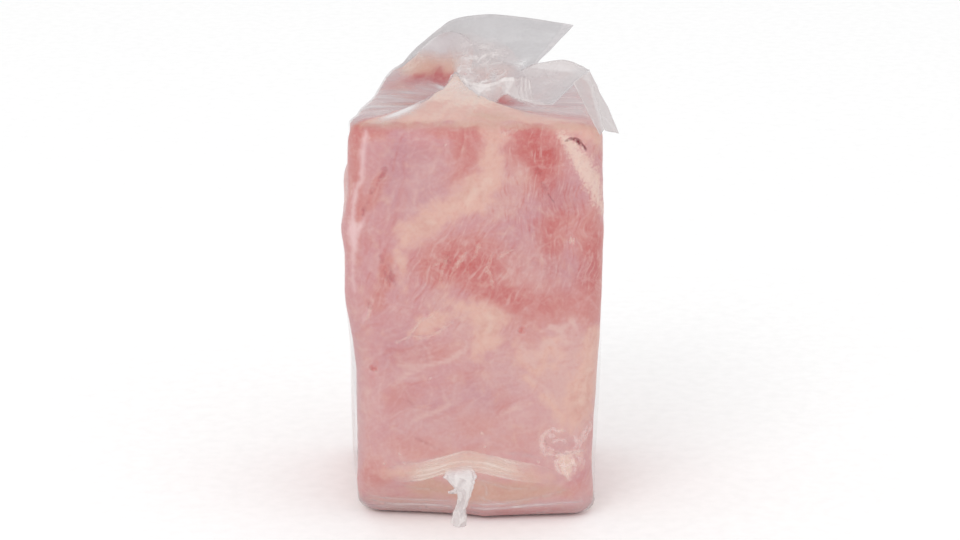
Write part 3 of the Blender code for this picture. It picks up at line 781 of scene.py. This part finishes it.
# Thin marks that lie on the front of the meat: the piece, what it is, its colour and strength, its lines, and
# half its width and its height in mm
MARKS = (
    ("sinew_strands", "pale_pork_sinew", CREAM, 0.37, PALE_LINES, 1.3, 0.04),
    ("cream_curds", "white_pork_curd", CURD, 0.70, CURD_LINES, 1.45, 0.03),
    ("fat_specks", "white_pork_fat", CREAM, 0.7, WHITE_SPOTS, 0.9, 0.03),
    ("blood_specks", "cured_pork_blood_spot", SPOT, 0.75, RED_SPOTS, 2.8, 0.02),
    ("dark_strands", "dark_pork_muscle", STRAND, 0.36, DARK_STRANDS, 1.7, 0.02),
    # The fissures are painted shade: flat dark ribbons where the gaps in the meat would lie in shade
    ("faint_fissure_shades", "faint_pork_fissure_shade", FISSURE_SHADE, 0.42, FAINT_LINES, 0.6, 0.0),
    ("dark_fissure_shade", "dark_pork_fissure_shade", FISSURE_SHADE, 1.3, DARK_LINES, 1.25, 0.0),
)
# In mm: the length of a mark's cell, how far it wanders, and how far its edge stands off the meat
MARK_STEP, MARK_WANDER, MARK_FLOAT = 0.7, 0.5, 0.06


def meat(material):
    """The pressed meat, a little inside its film, with what it is made of stored at its points."""
    shape = grid_cube(MEAT_CUTS)
    point, outward = pressed_block(places(shape), MEAT_ROUNDINGS, MEAT_RIDGE_DROP)
    x, y, z = point.T
    fields = meat_fields(point)
    low_left = ease((z - 0.012) / 0.02) * ease((0.098 - z) / 0.04) * ease((-x - 0.040) / 0.010)
    low_right = ease((z - 0.008) / 0.014) * ease((0.090 - z) / 0.03) * ease((x - 0.042) / 0.008)
    in_top = ease((z - 0.178) / 0.005) * (0.5 + 0.5 * ease((0.192 - z) / 0.006))
    inset = MEAT_INSET + LEFT_INSET * low_left + RIGHT_INSET * low_right + TOP_INSET * in_top
    relief = CURD_RELIEF * ease((fields["cream"] + 1.5) / 3.0) * (0.5 + lumps(point, 0.0035, 3.0))
    relief += MEAT_UNEVENNESS * lumps(point, 0.009, 8.0)
    point -= outward * ((inset - relief) * ease(z / 0.004))[:, None]
    # The meat stays just off the floor, and it fills the knob at the pleat's peak
    point[:, 2] = np.maximum(point[:, 2], 0.0003)
    point[:, 2] += KNOB_RISE * ridge_knob(*point.T)
    place_all(shape, point)
    return finished("meat", shape, material, fields)


def marks(name, material, lines, half, raised, surface):
    """Thin strands or specks that lie on the front of the meat, fading at their edges."""
    shape = bmesh.new()
    opacity = []
    for path in map(in_metres, lines):
        length = sum((Vector(b) - Vector(a)).length for a, b in zip(path, path[1:]))
        cells = max(6, int(length / (MARK_STEP * MM)))
        made = bmesh.ops.create_grid(shape, x_segments=cells, y_segments=6, size=0.5)
        for vertex in made["verts"]:
            share, side = vertex.co.x + 0.5, vertex.co.y * 2.0
            spot = along(path, share)
            ahead, back = along(path, min(1.0, share + 0.02)), along(path, max(0.0, share - 0.02))
            run = (ahead - back).normalized()
            wander = noise.noise_vector(spot / (2.5 * MM)) * MARK_WANDER * MM
            width = half * MM * (0.75 + 0.6 * noise.noise(spot / (1.6 * MM)))
            taper = min(1.0, 4.0 * share, 4.0 * (1.0 - share)) ** 0.5
            spot += Vector((-run.z, 0.0, run.x)) * side * width * max(0.2, taper)
            spot += Vector((wander.x, 0.0, wander.z)) + run * (share - 0.5) * half * MM
            found, outward = seen_from_front(surface, spot)
            dome = max(0.0, 1.0 - side * side)
            vertex.co = found + outward * (MARK_FLOAT + raised * dome) * MM
            opacity.append(dome * taper * (0.7 + 0.3 * noise.noise(spot / (1.2 * MM))))
    return finished(name, shape, material, {"opacity": opacity}, clear=True)


# ------------ the film shrunk on the meat

# Fine wrinkles of the film low on the front, in mm as on the meat
FILM_WRINKLES = (
    ([(-50, 11.5), (-38, 9.6), (-24, 9.2), (-11, 9.0)], [0.2, 0.6, 0.6, 0.3]),
    ([(-48, 9), (-36, 6.5), (-22, 6.8), (-11, 6)], [0.2, 0.5, 0.4, 0.3]),
    ([(-3, 8.5), (8, 8), (20, 9.5), (32, 12), (40, 15)], [0.3, 0.6, 0.7, 0.5, 0.2]),
    ([(-2, 6.4), (12, 6.2), (28, 7.5), (46, 8.5)], [0.3, 0.5, 0.7, 0.3]),
    ([(0, 12), (6, 9.5), (12, 8.8)], [0.2, 0.5, 0.2]),
    ([(0.8, 20), (4.2, 16.5), (4.6, 13), (2, 9.8)], [0.2, 0.6, 0.5, 0.2]),
    ([(-2, 21.4), (5, 18.2), (14, 15.4), (26, 14.6)], [0.2, 0.5, 0.6, 0.2]),
    ([(-34, 18.2), (-26, 15.4), (-17, 14.6)], [0.2, 0.5, 0.2]),
    ([(14, 31.5), (22, 30.5), (28, 29)], [0.2, 0.7, 0.2]),
    ([(-34, 27.5), (-24, 28.2), (-16, 30.4)], [0.2, 0.6, 0.3]),
)
# The shrunk film's haze, the brightness of its creases and its pull to the neck: what each zone adds
FLAT_HAZE = 0.03
# The sheen and glow zones are painted highlights on the pleat, drawn as whiter and milkier film
SKIN_HAZE = {"veil": 0.62, "pleat": 0.11, "painted_sheen": 0.50, "painted_glow": 0.20, "lilac": 0.26, "standing": 0.60,
             "shoulder": 0.30, "knob": 0.35, "left_gap": 0.17, "right_gap": 0.12, "foot": 0.38, "hems": 0.14,
             "left_foot": 0.10, "wrinkles": 0.18}
SKIN_CREASE = {"painted_sheen": 1.0, "painted_glow": 0.6, "standing": 0.4, "hem_ridges": 0.25, "wrinkles": 0.65}
SKIN_PULL = {"gathers": 1.5, "pleat": 0.3}


def ridged(points, seed):
    """Sharp ridges between smooth hollows: from 1 on a ridge to -1."""
    return 1.0 - 2.0 * np.abs(lumps(points, 1.0, seed)) ** 0.7


def skin_fields(x, y, z, foot, hems):
    """The shrunk film's haze, crease and pull at each point."""
    line, _ = pleat_line(x)
    top = ease((z - TOP_START) / TOP_FADE)
    before = ease((line - y) / 0.004)
    behind = top * (1.0 - before)
    hidden = behind * ease((y - line - 0.001 - 0.005 * ease((x + 0.046) / 0.020)) / 0.006)
    pocket = in_pockets(x / MM, y / MM)
    dome = behind * ease((z - 0.1815) / 0.0035)
    lilac = behind * ease((x - 0.012) / 0.008)
    shoulder = ease((-x - 0.036) / 0.008) * ease((z - 0.158) / 0.012) * ease((y + 0.036) / 0.012)
    on_front = ease((-y - 0.040) / 0.006)
    above_floor = foot * ease(z / 0.004)
    zones = {
        # Behind the pleat the film is milky, but less so over the hollows and the dome
        "veil": hidden * (1.0 - 0.95 * pocket) * (1.0 - 0.7 * dome),
        "lilac": lilac * (1.0 - dome),
        # It stands off the dome at the back, and over the left shoulder
        "standing": dome * ease((z - 0.1860) / 0.0085) * ease((0.034 - y) / 0.008),
        "shoulder": shoulder * (1.0 - hidden),
        # The front pleat: all of it, a painted highlight along its left edge, a soft painted highlight on
        # its face, and its peak
        "pleat": top * before,
        "painted_sheen": top * bell((y - line + 0.0025) / 0.0048) * bell((x + 0.0300) / 0.0105),
        "painted_glow": top * before * bell(np.hypot(x + 0.006, y + 0.027) / 0.009),
        "knob": ridge_knob(x, y, z),
        "gathers": behind * bell(np.hypot(x - NECK_X, y - NECK_Y) / 0.055)
                   * (1.0 - 0.8 * dome) * (1.0 - 0.8 * lilac) * (1.0 - 0.6 * pocket),
        # Low on both sides it stands off the meat, and at the foot it lies in folds
        "left_gap": ease((z - 0.012) / 0.02) * ease((0.105 - z) / 0.03) * ease((-x - 0.046) / 0.005),
        "right_gap": ease((0.090 - z) / 0.03) * ease((x - 0.048) / 0.004) * on_front,
        "foot": above_floor,
        "left_foot": above_floor * ease(-x / 0.030),
        "hems": above_floor * hems,
        "hem_ridges": foot * ease((hems - 0.5) / 0.5),
        "wrinkles": on_front * ease(0.5 + deepest(x / MM, z / MM, FILM_WRINKLES) / 1.6),
    }
    haze, crease, pull = [sum(amount * zones[zone] for zone, amount in amounts.items())
                          for amounts in (SKIN_HAZE, SKIN_CREASE, SKIN_PULL)]
    return {"haze": FLAT_HAZE + haze, "crease": crease, "pull": pull}


def film_skin(material):
    """The film that is shrunk on the block."""
    shape = grid_cube(FILM_CUTS)
    point, outward = pressed_block(places(shape), FILM_ROUNDINGS, FILM_RIDGE_DROP)
    x, y, z = point.T.copy()
    # Gathers run out from the neck and fade, and hems run round the foot
    turn, away = np.arctan2(y - NECK_Y, x - NECK_X), np.hypot(x - NECK_X, y - NECK_Y)
    rays = np.stack((np.cos(turn) * 4.2, np.sin(turn) * 4.2, away / 0.050), axis=1)
    gathers = ridged(rays, 2.0) + 0.5 * ridged(rays * (2.3, 2.3, 1.0), 4.0)
    reach = 0.0010 * np.exp(-away / 0.024) + 0.00035 * np.exp(-away / 0.060)
    foot = ease((0.012 - z) / 0.008)
    hems = ridged(np.stack((x / 0.030, y / 0.030, z / 0.0022), axis=1), 6.0)
    relief = ease((z - TOP_START) / TOP_FADE) * reach * gathers + 0.0003 * foot * ease(z / 0.0015) * hems
    point += outward * (relief * ease(z / 0.003))[:, None]
    point[:, 2] = np.maximum(point[:, 2], 0.0) + KNOB_RISE * ridge_knob(x, y, z)
    place_all(shape, point)
    return finished("film_skin", shape, material, skin_fields(x, y, z, foot, hems), clear=True)


# ------------ loose film


def crumpled(place, size, seed):
    """Flat facets between folds: how high the film stands, from -1 to 1, and its brightness, from 0 to 1,
    which
    is painted light: facets are drawn brighter or darker as if lit apart, and the folds whiter.
    """
    spot = Vector(place) / size + Vector((seed, seed * 2.3, seed * 0.7))
    spot += 0.55 * noise.noise_vector(spot * 0.9)
    (nearest, second, _, _), (middle, _, _, _) = noise.voronoi(spot)
    gap = second - nearest
    facet = 0.5 + 0.9 * noise.noise(middle * 4.7)
    fold = max(0.0, 1.0 - 4.5 * gap) * max(0.0, 0.4 + 2.0 * noise.noise(spot * 0.7 + Vector((9.0, 0.0, 0.0))))
    return 1.0 - 2.0 * min(1.0, 1.3 * gap), min(1.0, max(0.0, 0.75 * facet + 0.6 * fold))


def sheet(name, material, columns, rows, laid):
    """A piece of film, a grid in which laid(across, up) gives each point's place, cloudiness and crease."""
    shape = bmesh.new()
    bmesh.ops.create_grid(shape, x_segments=columns, y_segments=rows, size=0.5)
    haze, crease = [], []
    for vertex in shape.verts:
        place, cloud, fold = laid(vertex.co.x + 0.5, vertex.co.y + 0.5)
        vertex.co = place
        # A look passes through both faces of the sheet, so each has half of the cloudiness
        haze.append(1.0 - math.sqrt(max(0.0, 1.0 - cloud)))
        crease.append(fold)
    made = finished(name, shape, material, {"haze": haze, "crease": crease}, clear=True)
    wall = made.modifiers.new("gauge", "SOLIDIFY")
    wall.thickness = FILM_GAUGE
    wall.offset = 0.0
    return made


def spanned(top, foot, line=along):
    """A function that gives the place between two edges in mm, and the direction square to it."""
    top, foot = [[Vector(point) * MM for point in edge] for edge in (top, foot)]

    def laid(across, up):
        low, high = line(foot, across), line(top, across)
        after, before = [line(foot, share).lerp(line(top, share), up)
                         for share in (min(1.0, across + 0.02), max(0.0, across - 0.02))]
        square = (after - before).cross(high - low)
        return low.lerp(high, up), square.normalized() if square.length > 0 else Vector((0, -1, 0))

    return laid


# The edges between which each flap is laid, in mm right of the middle, behind it and above the floor
BACK_FLAP_TOP = [(-36.5, 36, 175.2), (-29.5, 37, 181), (-23.5, 36.5, 188), (-12.8, 33, 197.9),
                 (-5.9, 30, 202.9), (8.4, 24, 206), (22.5, 17, 206.2), (34, 11, 205.7), (43.7, 5, 205.4)]
BACK_FLAP_FOOT = [(-34, 30, 168), (-26, 26, 172), (-18, 20, 176), (-11, 16, 178), (-4, 8, 180), (6, 0, 183),
                  (15, -6, 186), (22, -8, 189), (27.5, -8, 191.6)]
SIDE_FLAP_TOP = [(20.2, -10, 188.7), (27.5, -8, 191.6), (40.1, -12, 193.8), (49.3, -17, 190.7)]
SIDE_FLAP_HEM = [(16, -29, 182.1), (22.5, -33, 181.1), (27.5, -34.5, 180.8), (32.5, -36, 180.7)]
FOLD_LEFT = [(44.1, -16, 192.8), (34.7, -26.7, 187.7), (25.4, -34.8, 181.9)]
FOLD_RIGHT = [(49.5, -17.6, 190.9), (40.9, -27.3, 186), (32.7, -36.8, 180.8)]
TIP_LEFT = [(49, -17.5, 190.5), (41.7, -26, 187.7), (46.3, -42, 180.4), (51.1, -59, 173.2)]
TIP_PLEAT = [(49.1, -17.6, 190.3), (50.5, -28, 184.5), (52.2, -41.5, 179), (53.1, -54, 174.5)]
TIP_RIGHT = [(49.3, -17, 190.7), (52.2, -24, 185.2), (56, -32.5, 178.5), (59.9, -42.5, 169.7)]


def straight(points, share):
    """The point at this share of a line that is bent only at evenly shared points."""
    place = share * (len(points) - 1)
    first = min(int(place), len(points) - 2)
    return Vector(points[first]).lerp(Vector(points[first + 1]), place - first)


def flaps(plain, pinker):
    """The loose film that stands and hangs at the top. Its side, with meat behind it, is pinker."""
    on_back = spanned(BACK_FLAP_TOP, BACK_FLAP_FOOT)
    on_side = spanned(SIDE_FLAP_TOP, SIDE_FLAP_HEM)
    on_fold = spanned(FOLD_RIGHT, FOLD_LEFT, straight)

    def back(across, up):
        place, square = on_back(across, up)
        wave = 0.0006 * math.sin(across * 9.0 + up * 1.5) * math.sin(up * math.pi)
        fold, painted_shine = crumpled(place, 0.013, 3.0)
        # It is clearer where it clings to the dome, and it fades into the neck
        clinging = 0.25 * float(ease((0.45 - across) / 0.3) * ease((0.9 - up) / 0.4))
        merged = float(ease(max(up / 0.30, (across - 0.75) / 0.15)))
        streak = noise.noise(Vector((across * 3.0, up * 9.0, 6.0)))
        edge = 0.6 * bell((1.0 - up) / 0.03) + 0.30 * (across > 0.95)
        return (place + square * (wave + 0.0004 * fold * (1.0 - up * 0.5)),
                (0.88 - clinging + 0.12 * streak) * merged, 0.15 * painted_shine + 0.25 * max(0.0, streak) + edge)

    def side(across, up):
        place, square = on_side(across, up)
        fold, painted_shine = crumpled(place, 0.010, 7.0)
        hem = bell(up / 0.06)
        rooted = min(1.0, across / 0.22)
        cloud = 0.42 + 0.32 * up + 0.12 * hem
        return place + square * 0.0005 * fold, cloud * rooted, (0.12 + 0.3 * painted_shine + 0.4 * hem) * rooted

    def band(across, up):
        place, square = on_fold(across, up)
        fold, painted_shine = crumpled(place, 0.012, 13.0)
        edge = bell(min(up, 1.0 - up) / 0.12)
        return place + square * 0.0003 * fold, 0.10 + 0.50 * up, (0.20 + 0.2 * painted_shine + 0.35 * edge) * up

    def tip(right, left, seed, cloud, bright, width, end):
        """A flat tip, equally cloudy all over, whose edges are this bright and wide."""
        on_tip = spanned(right, left, straight)

        def laid(across, up):
            place, square = on_tip(across, up)
            fold, painted_shine = crumpled(place, 0.012, seed)
            edge = bell(min(up, 1.0 - up, end - across) / width)
            return place + square * 0.0004 * fold, cloud, 0.12 * painted_shine + bright * edge
        return laid

    # The panel's end is cut off by the fold, so it has no bright edge there
    panel = tip(TIP_PLEAT, TIP_LEFT, 11.0, 0.80, 0.5, 0.08, end=2.0)
    hanging = tip(TIP_RIGHT, TIP_PLEAT, 17.0, 0.86, 0.4, 0.07, end=1.0)
    return [sheet("film_back_flap", plain, 60, 26, back), sheet("film_side_flap", pinker, 44, 26, side),
            sheet("film_fold_band", plain, 40, 12, band), sheet("film_tip_panel", pinker, 44, 20, panel),
            sheet("film_tip_flap", pinker, 44, 20, hanging)]


# The film at the neck, between its edges as above: the crumpled lace, the rolled rim under it, the small fan
# of pleats beside it, and the knob on the front pleat's peak
LACE_TOP = [(-9.5, 16, 197), (-1, 16.5, 200), (6.5, 13, 198.5), (14.8, 10.5, 197.5), (22, 2, 194.5)]
LACE_FOOT = [(-8, -6, 186.8), (-5, -16, 185.2), (1.2, -20, 183.6), (11.5, -20.5, 184.6), (23.2, -14, 186.6)]
RIM_TOP = [(-6.2, -17.2, 189.5), (-1, -19, 186.8), (7.2, -20, 186.2), (13.5, -19.5, 188.5),
           (19, -20, 188.5)]
RIM_FOOT = [(-3.5, -23.5, 185.5), (2, -28, 182.5), (7.8, -30, 178.5), (13, -29, 183.2), (18, -31, 181.2),
            (23.5, -33, 179.2)]
FAN_TOP = [(18, -20, 188.5), (21.2, -20.8, 189.4), (24.5, -22, 187.8)]
FAN_FOOT = [(17.8, -30.5, 181.5), (22.5, -32.5, 180.2), (26.8, -34, 179.4)]
KNOB_TOP = [(-9.4, -18.7, 189.9), (-7.9, -18.2, 191.6), (-5.6, -18.7, 190.1)]
KNOB_FOOT = [(-11.8, -22.5, 185.6), (-8, -24, 185), (-3, -23.2, 185.5)]


def neck(material):
    """The gathered and crumpled film between the front pleat and the flaps."""
    on_lace, on_rim = spanned(LACE_TOP, LACE_FOOT), spanned(RIM_TOP, RIM_FOOT)
    on_fan, on_knob = spanned(FAN_TOP, FAN_FOOT), spanned(KNOB_TOP, KNOB_FOOT)

    def lace(across, up):
        place, square = on_lace(across, up)
        (fold, painted_shine), (small, painted_glint) = crumpled(place, 0.0070, 1.0), crumpled(place, 0.0030, 5.0)
        inside = min(1.0, 5.0 * min(1.0 - up, across, 1.0 - across), 25.0 * up)
        rough = 1.0 - 0.6 * float(ease((across - 0.55) / 0.3))
        cloud = 0.61 + (0.34 * (painted_shine - 0.4) + 0.26 * (painted_glint - 0.4)) * rough
        return (place + square * (0.0003 * fold + 0.0001 * small) * rough, cloud * (0.1 + 0.9 * inside),
                (0.05 + 0.32 * painted_shine + 0.32 * painted_glint) * inside * rough)

    def rim(across, up):
        place, square = on_rim(across, up)
        fold, painted_shine = crumpled((place.x, place.y * 0.5, place.z * 0.5), 0.0040, 9.0)
        bulge = math.sin(up * math.pi) ** 0.7
        ends = min(1.0, 8.0 * across, 8.0 * (1.0 - across), 4.0 * up + 0.2)
        return (place - square * (0.0012 * bulge - 0.0004 * fold), 0.70 * ends,
                (0.30 + 0.4 * painted_shine + 0.2 * (up > 0.9)) * ends)

    def fan(across, up):
        place, square = on_fan(across, up)
        bulge = math.sin(up * math.pi)
        swept = across + 0.10 * bulge + 0.03 * noise.noise(place / 0.004)
        rib = math.sin(swept * 4.0 * math.pi) ** 2
        ends = min(1.0, 8.0 * across, 8.0 * (1.0 - across), 5.0 * up + 0.2)
        return (place - square * (0.0013 * bulge ** 0.5 + 0.0003 * rib), (0.45 + 0.12 * rib) * ends,
                (0.25 + 0.30 * rib) * ends)

    def knob(across, up):
        place, square = on_knob(across, up)
        edge = bell(min(across, 1.0 - across) / 0.12)
        return (place - square * 0.0012 * math.sin(across * math.pi), 0.12 + 0.30 * up,
                0.50 + 0.25 * edge + 0.3 * up)

    return [sheet("film_lace", material, 96, 60, lace), sheet("film_rim", material, 60, 20, rim),
            sheet("film_fan", material, 64, 16, fan), sheet("film_knob", material, 16, 14, knob)]


# ------------ the folded seam and its tail

# The folded seam: its upper and its lower edge, in mm right of the middle and above the floor
SEAM_TOP = [(-39, 26.2), (-31.3, 27.6), (-23.7, 28.4), (-16.9, 30.2), (-10.9, 31.8), (-3.3, 33.6),
            (3.2, 31.8), (10.1, 30.2), (17.6, 28.4), (26.4, 26.4), (36, 23)]
SEAM_FOOT = [(-39.5, 22.8), (-33.6, 19.2), (-26, 19.3), (-20.7, 20.3), (-14, 22.3), (-7, 23.0),
             (-0.3, 23.0), (6.5, 21.5), (13.4, 19.8), (22.7, 18.0), (36, 16.4)]
# Its folds: where each lies as a share of the width, how wide it is, and how bright
SEAM_FOLDS = ((0.06, 0.08, 0.6), (0.27, 0.07, 0.5), (0.50, 0.09, 0.7), (0.74, 0.06, 0.4), (0.92, 0.07, 0.6))
# How far the seam stands off the shrunk film, in mm: all of it, and at the most in its middle
SEAM_FLOAT, SEAM_LIFT = 0.1, 1.0

# The tail: its left and its right edge from the seam down to the floor, and how far forward it hangs, in mm
TAIL_LEFT = [(-12.4, 25.5), (-13.6, 22.2), (-10.6, 19.0), (-8.3, 14.8), (-8.2, 11.5), (-9.6, 7.4),
             (-10.8, 3.4), (-9.8, 0.8)]
TAIL_RIGHT = [(-3.0, 27.5), (0.1, 22.6), (-1.0, 18.6), (-2.3, 14.2), (-3.4, 11.2), (-4.4, 7.4),
              (-4.0, 3.4), (-4.4, 0.8)]
TAIL_FRONT = (-52.4, -54.6, -55.6, -56.0, -56.0, -56.2, -56.6, -57.0)
SPUR_TOP, SPUR_FOOT = [(-8.6, 18.4), (-9.6, 17.4), (-12.2, 16.6)], [(-8.2, 15.2), (-9.8, 15.4), (-12.0, 15.9)]
SPUR_FRONT = (-56.0, -56.4, -56.8)


def seam(material, skin):
    """Doubled film, folded along its length and laid on the shrunk film low on the front."""
    top, foot = in_metres(SEAM_TOP), in_metres(SEAM_FOOT)

    def band(across, up):
        waver = 0.22 * up * noise.noise(Vector((across * 7.0, 4.0, 0.0)))
        found, outward = seen_from_front(skin, along(foot, across).lerp(along(top, across), up))
        ends = min(1.0, across / 0.20, (1.0 - across) / 0.20)
        inside = min(1.0, up / 0.02, (1.0 - up) / 0.06)
        folds = sum(bright * bell((up + waver - place) / width) for place, width, bright in SEAM_FOLDS)
        lift = (0.25 + 0.35 * math.sin(up * math.pi) + 0.4 * min(1.0, folds)) * (1.0 - 0.4 * up) * ends
        broken = folds * (0.62 + 0.5 * noise.noise(Vector((across * 4.0, up * 2.4, 2.0))))
        patchy = noise.noise(Vector((across * 5.0, up * 1.6, 9.0)))
        return (found + outward * (SEAM_FLOAT + SEAM_LIFT * lift) * MM,
                (0.40 + 0.32 * patchy + 0.24 * broken) * ends * inside, (0.15 + 0.8 * broken) * ends)

    return [sheet("film_seam", material, 130, 34, band)]


def tail(material):
    """Two crumpled strips of film, one over the other, and a torn spur, from the seam to the floor."""
    def hung(left, right, fronts, seed, depth, share):
        """A torn, bulging strip between two edges, this many mm forward and this share of the width."""
        def laid(across, down):
            here, there = [along([(x * MM, y * MM, z * MM) for (x, z), y in zip(edge, fronts)], down)
                           for edge in (left, right)]
            middle, half = (here + there) / 2, (there - here) / 2
            side = 2.0 * across - 1.0
            torn = 1.0 + 0.16 * noise.noise(Vector((math.copysign(3.0, side), down * 17.0, seed)))
            fold, painted_shine = crumpled((across * 0.008, down * 0.016, 0.0), 0.0040, seed)
            bulge = 0.0011 * math.sqrt(max(0.0, 1.0 - side * side))
            merged = float(ease(down / 0.16))
            edge = bell((1.0 - abs(side)) / 0.12)
            place = middle + half * side * torn * share
            place.y -= depth * MM + bulge + 0.0004 * fold
            return place, 0.64 * merged, 0.38 + 0.6 * painted_shine + 0.25 * edge
        return laid

    # The strips hang 0.4 mm behind and before the tail's middle, and the front one is narrower
    behind = hung(TAIL_LEFT, TAIL_RIGHT, TAIL_FRONT, 4.0, -0.4, 1.0)
    before = hung(TAIL_LEFT, TAIL_RIGHT, TAIL_FRONT, 8.0, 0.4, 0.8)
    spur = hung(SPUR_TOP, SPUR_FOOT, SPUR_FRONT, 5.0, 0.0, 1.0)
    return [sheet("film_tail_back", material, 20, 70, behind),
            sheet("film_tail_front", material, 20, 70, before),
            sheet("film_tail_spur", material, 8, 12, spur)]


# ------------ stage


def stage():
    """A plain pale floor in an even white room, with a large soft lamp and a weaker one across from it."""
    floor = bmesh.new()
    bmesh.ops.create_grid(floor, x_segments=1, y_segments=1, size=6.0)
    mesh = bpy.data.meshes.new("floor")
    floor.to_mesh(mesh)
    floor.free()
    mesh.materials.append(painted_board())
    ground = placed("floor", mesh)

    world = bpy.data.worlds.new("studio")
    world.use_nodes = True
    background = world.node_tree.nodes["Background"]
    background.inputs["Color"].default_value = linear("#ffffff")
    background.inputs["Strength"].default_value = 1.0
    bpy.context.scene.world = world

    aim = Vector((0.0, 0.0, 0.09))
    for name, place, size, power in (("key", (-0.75, -1.25, 1.35), (0.9, 0.9), 6.5),
                                     ("fill", (1.3, -1.0, 0.7), (0.8, 1.2), 1.6)):
        lamp = bpy.data.lights.new(name, "AREA")
        lamp.shape = "RECTANGLE"
        lamp.size, lamp.size_y = size
        lamp.energy = power
        holder = placed(name, lamp)
        holder.location = place
        holder.rotation_euler = (aim - Vector(place)).to_track_quat("-Z", "Y").to_euler()


def camera():
    """Stands 1.5 m before the ham's front, turned slightly to its left and looking down by 17 degrees."""
    turn, tilt, away = math.radians(-2.0), math.radians(17.0), 1.5
    pixels_per_metre, frame_width, sensor = 2382.0, 960.0, 36.0
    aim = Vector((0.0017, -0.0525, 0.1138))
    back = Vector((math.sin(turn) * math.cos(tilt), -math.cos(turn) * math.cos(tilt), math.sin(tilt)))
    lens = bpy.data.cameras.new("camera")
    lens.sensor_width = sensor
    lens.lens = pixels_per_metre / frame_width * sensor * away
    eye = placed("camera", lens)
    eye.location = aim + back * away
    eye.rotation_euler = (-back).to_track_quat("-Z", "Y").to_euler()
    bpy.context.scene.camera = eye


def main():
    camera()
    stage()
    bpy.context.scene.view_settings.view_transform = "Standard"
    tight, loose, gathered, folded = [shrink_film(*film) for film in FILMS]
    body = meat(cooked_pork())
    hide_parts("ham_in_film")
    surface = BVHTree.FromObject(body, bpy.context.evaluated_depsgraph_get())
    for name, finish, colour, strength, lines, half, raised in MARKS:
        marks(name, strand(finish, colour, strength), lines, half, raised, surface)
    skin = film_skin(tight)
    tree = BVHTree.FromObject(skin, bpy.context.evaluated_depsgraph_get())
    for piece in [skin, *flaps(loose, gathered), *neck(gathered), *seam(folded, tree), *tail(gathered)]:
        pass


main()
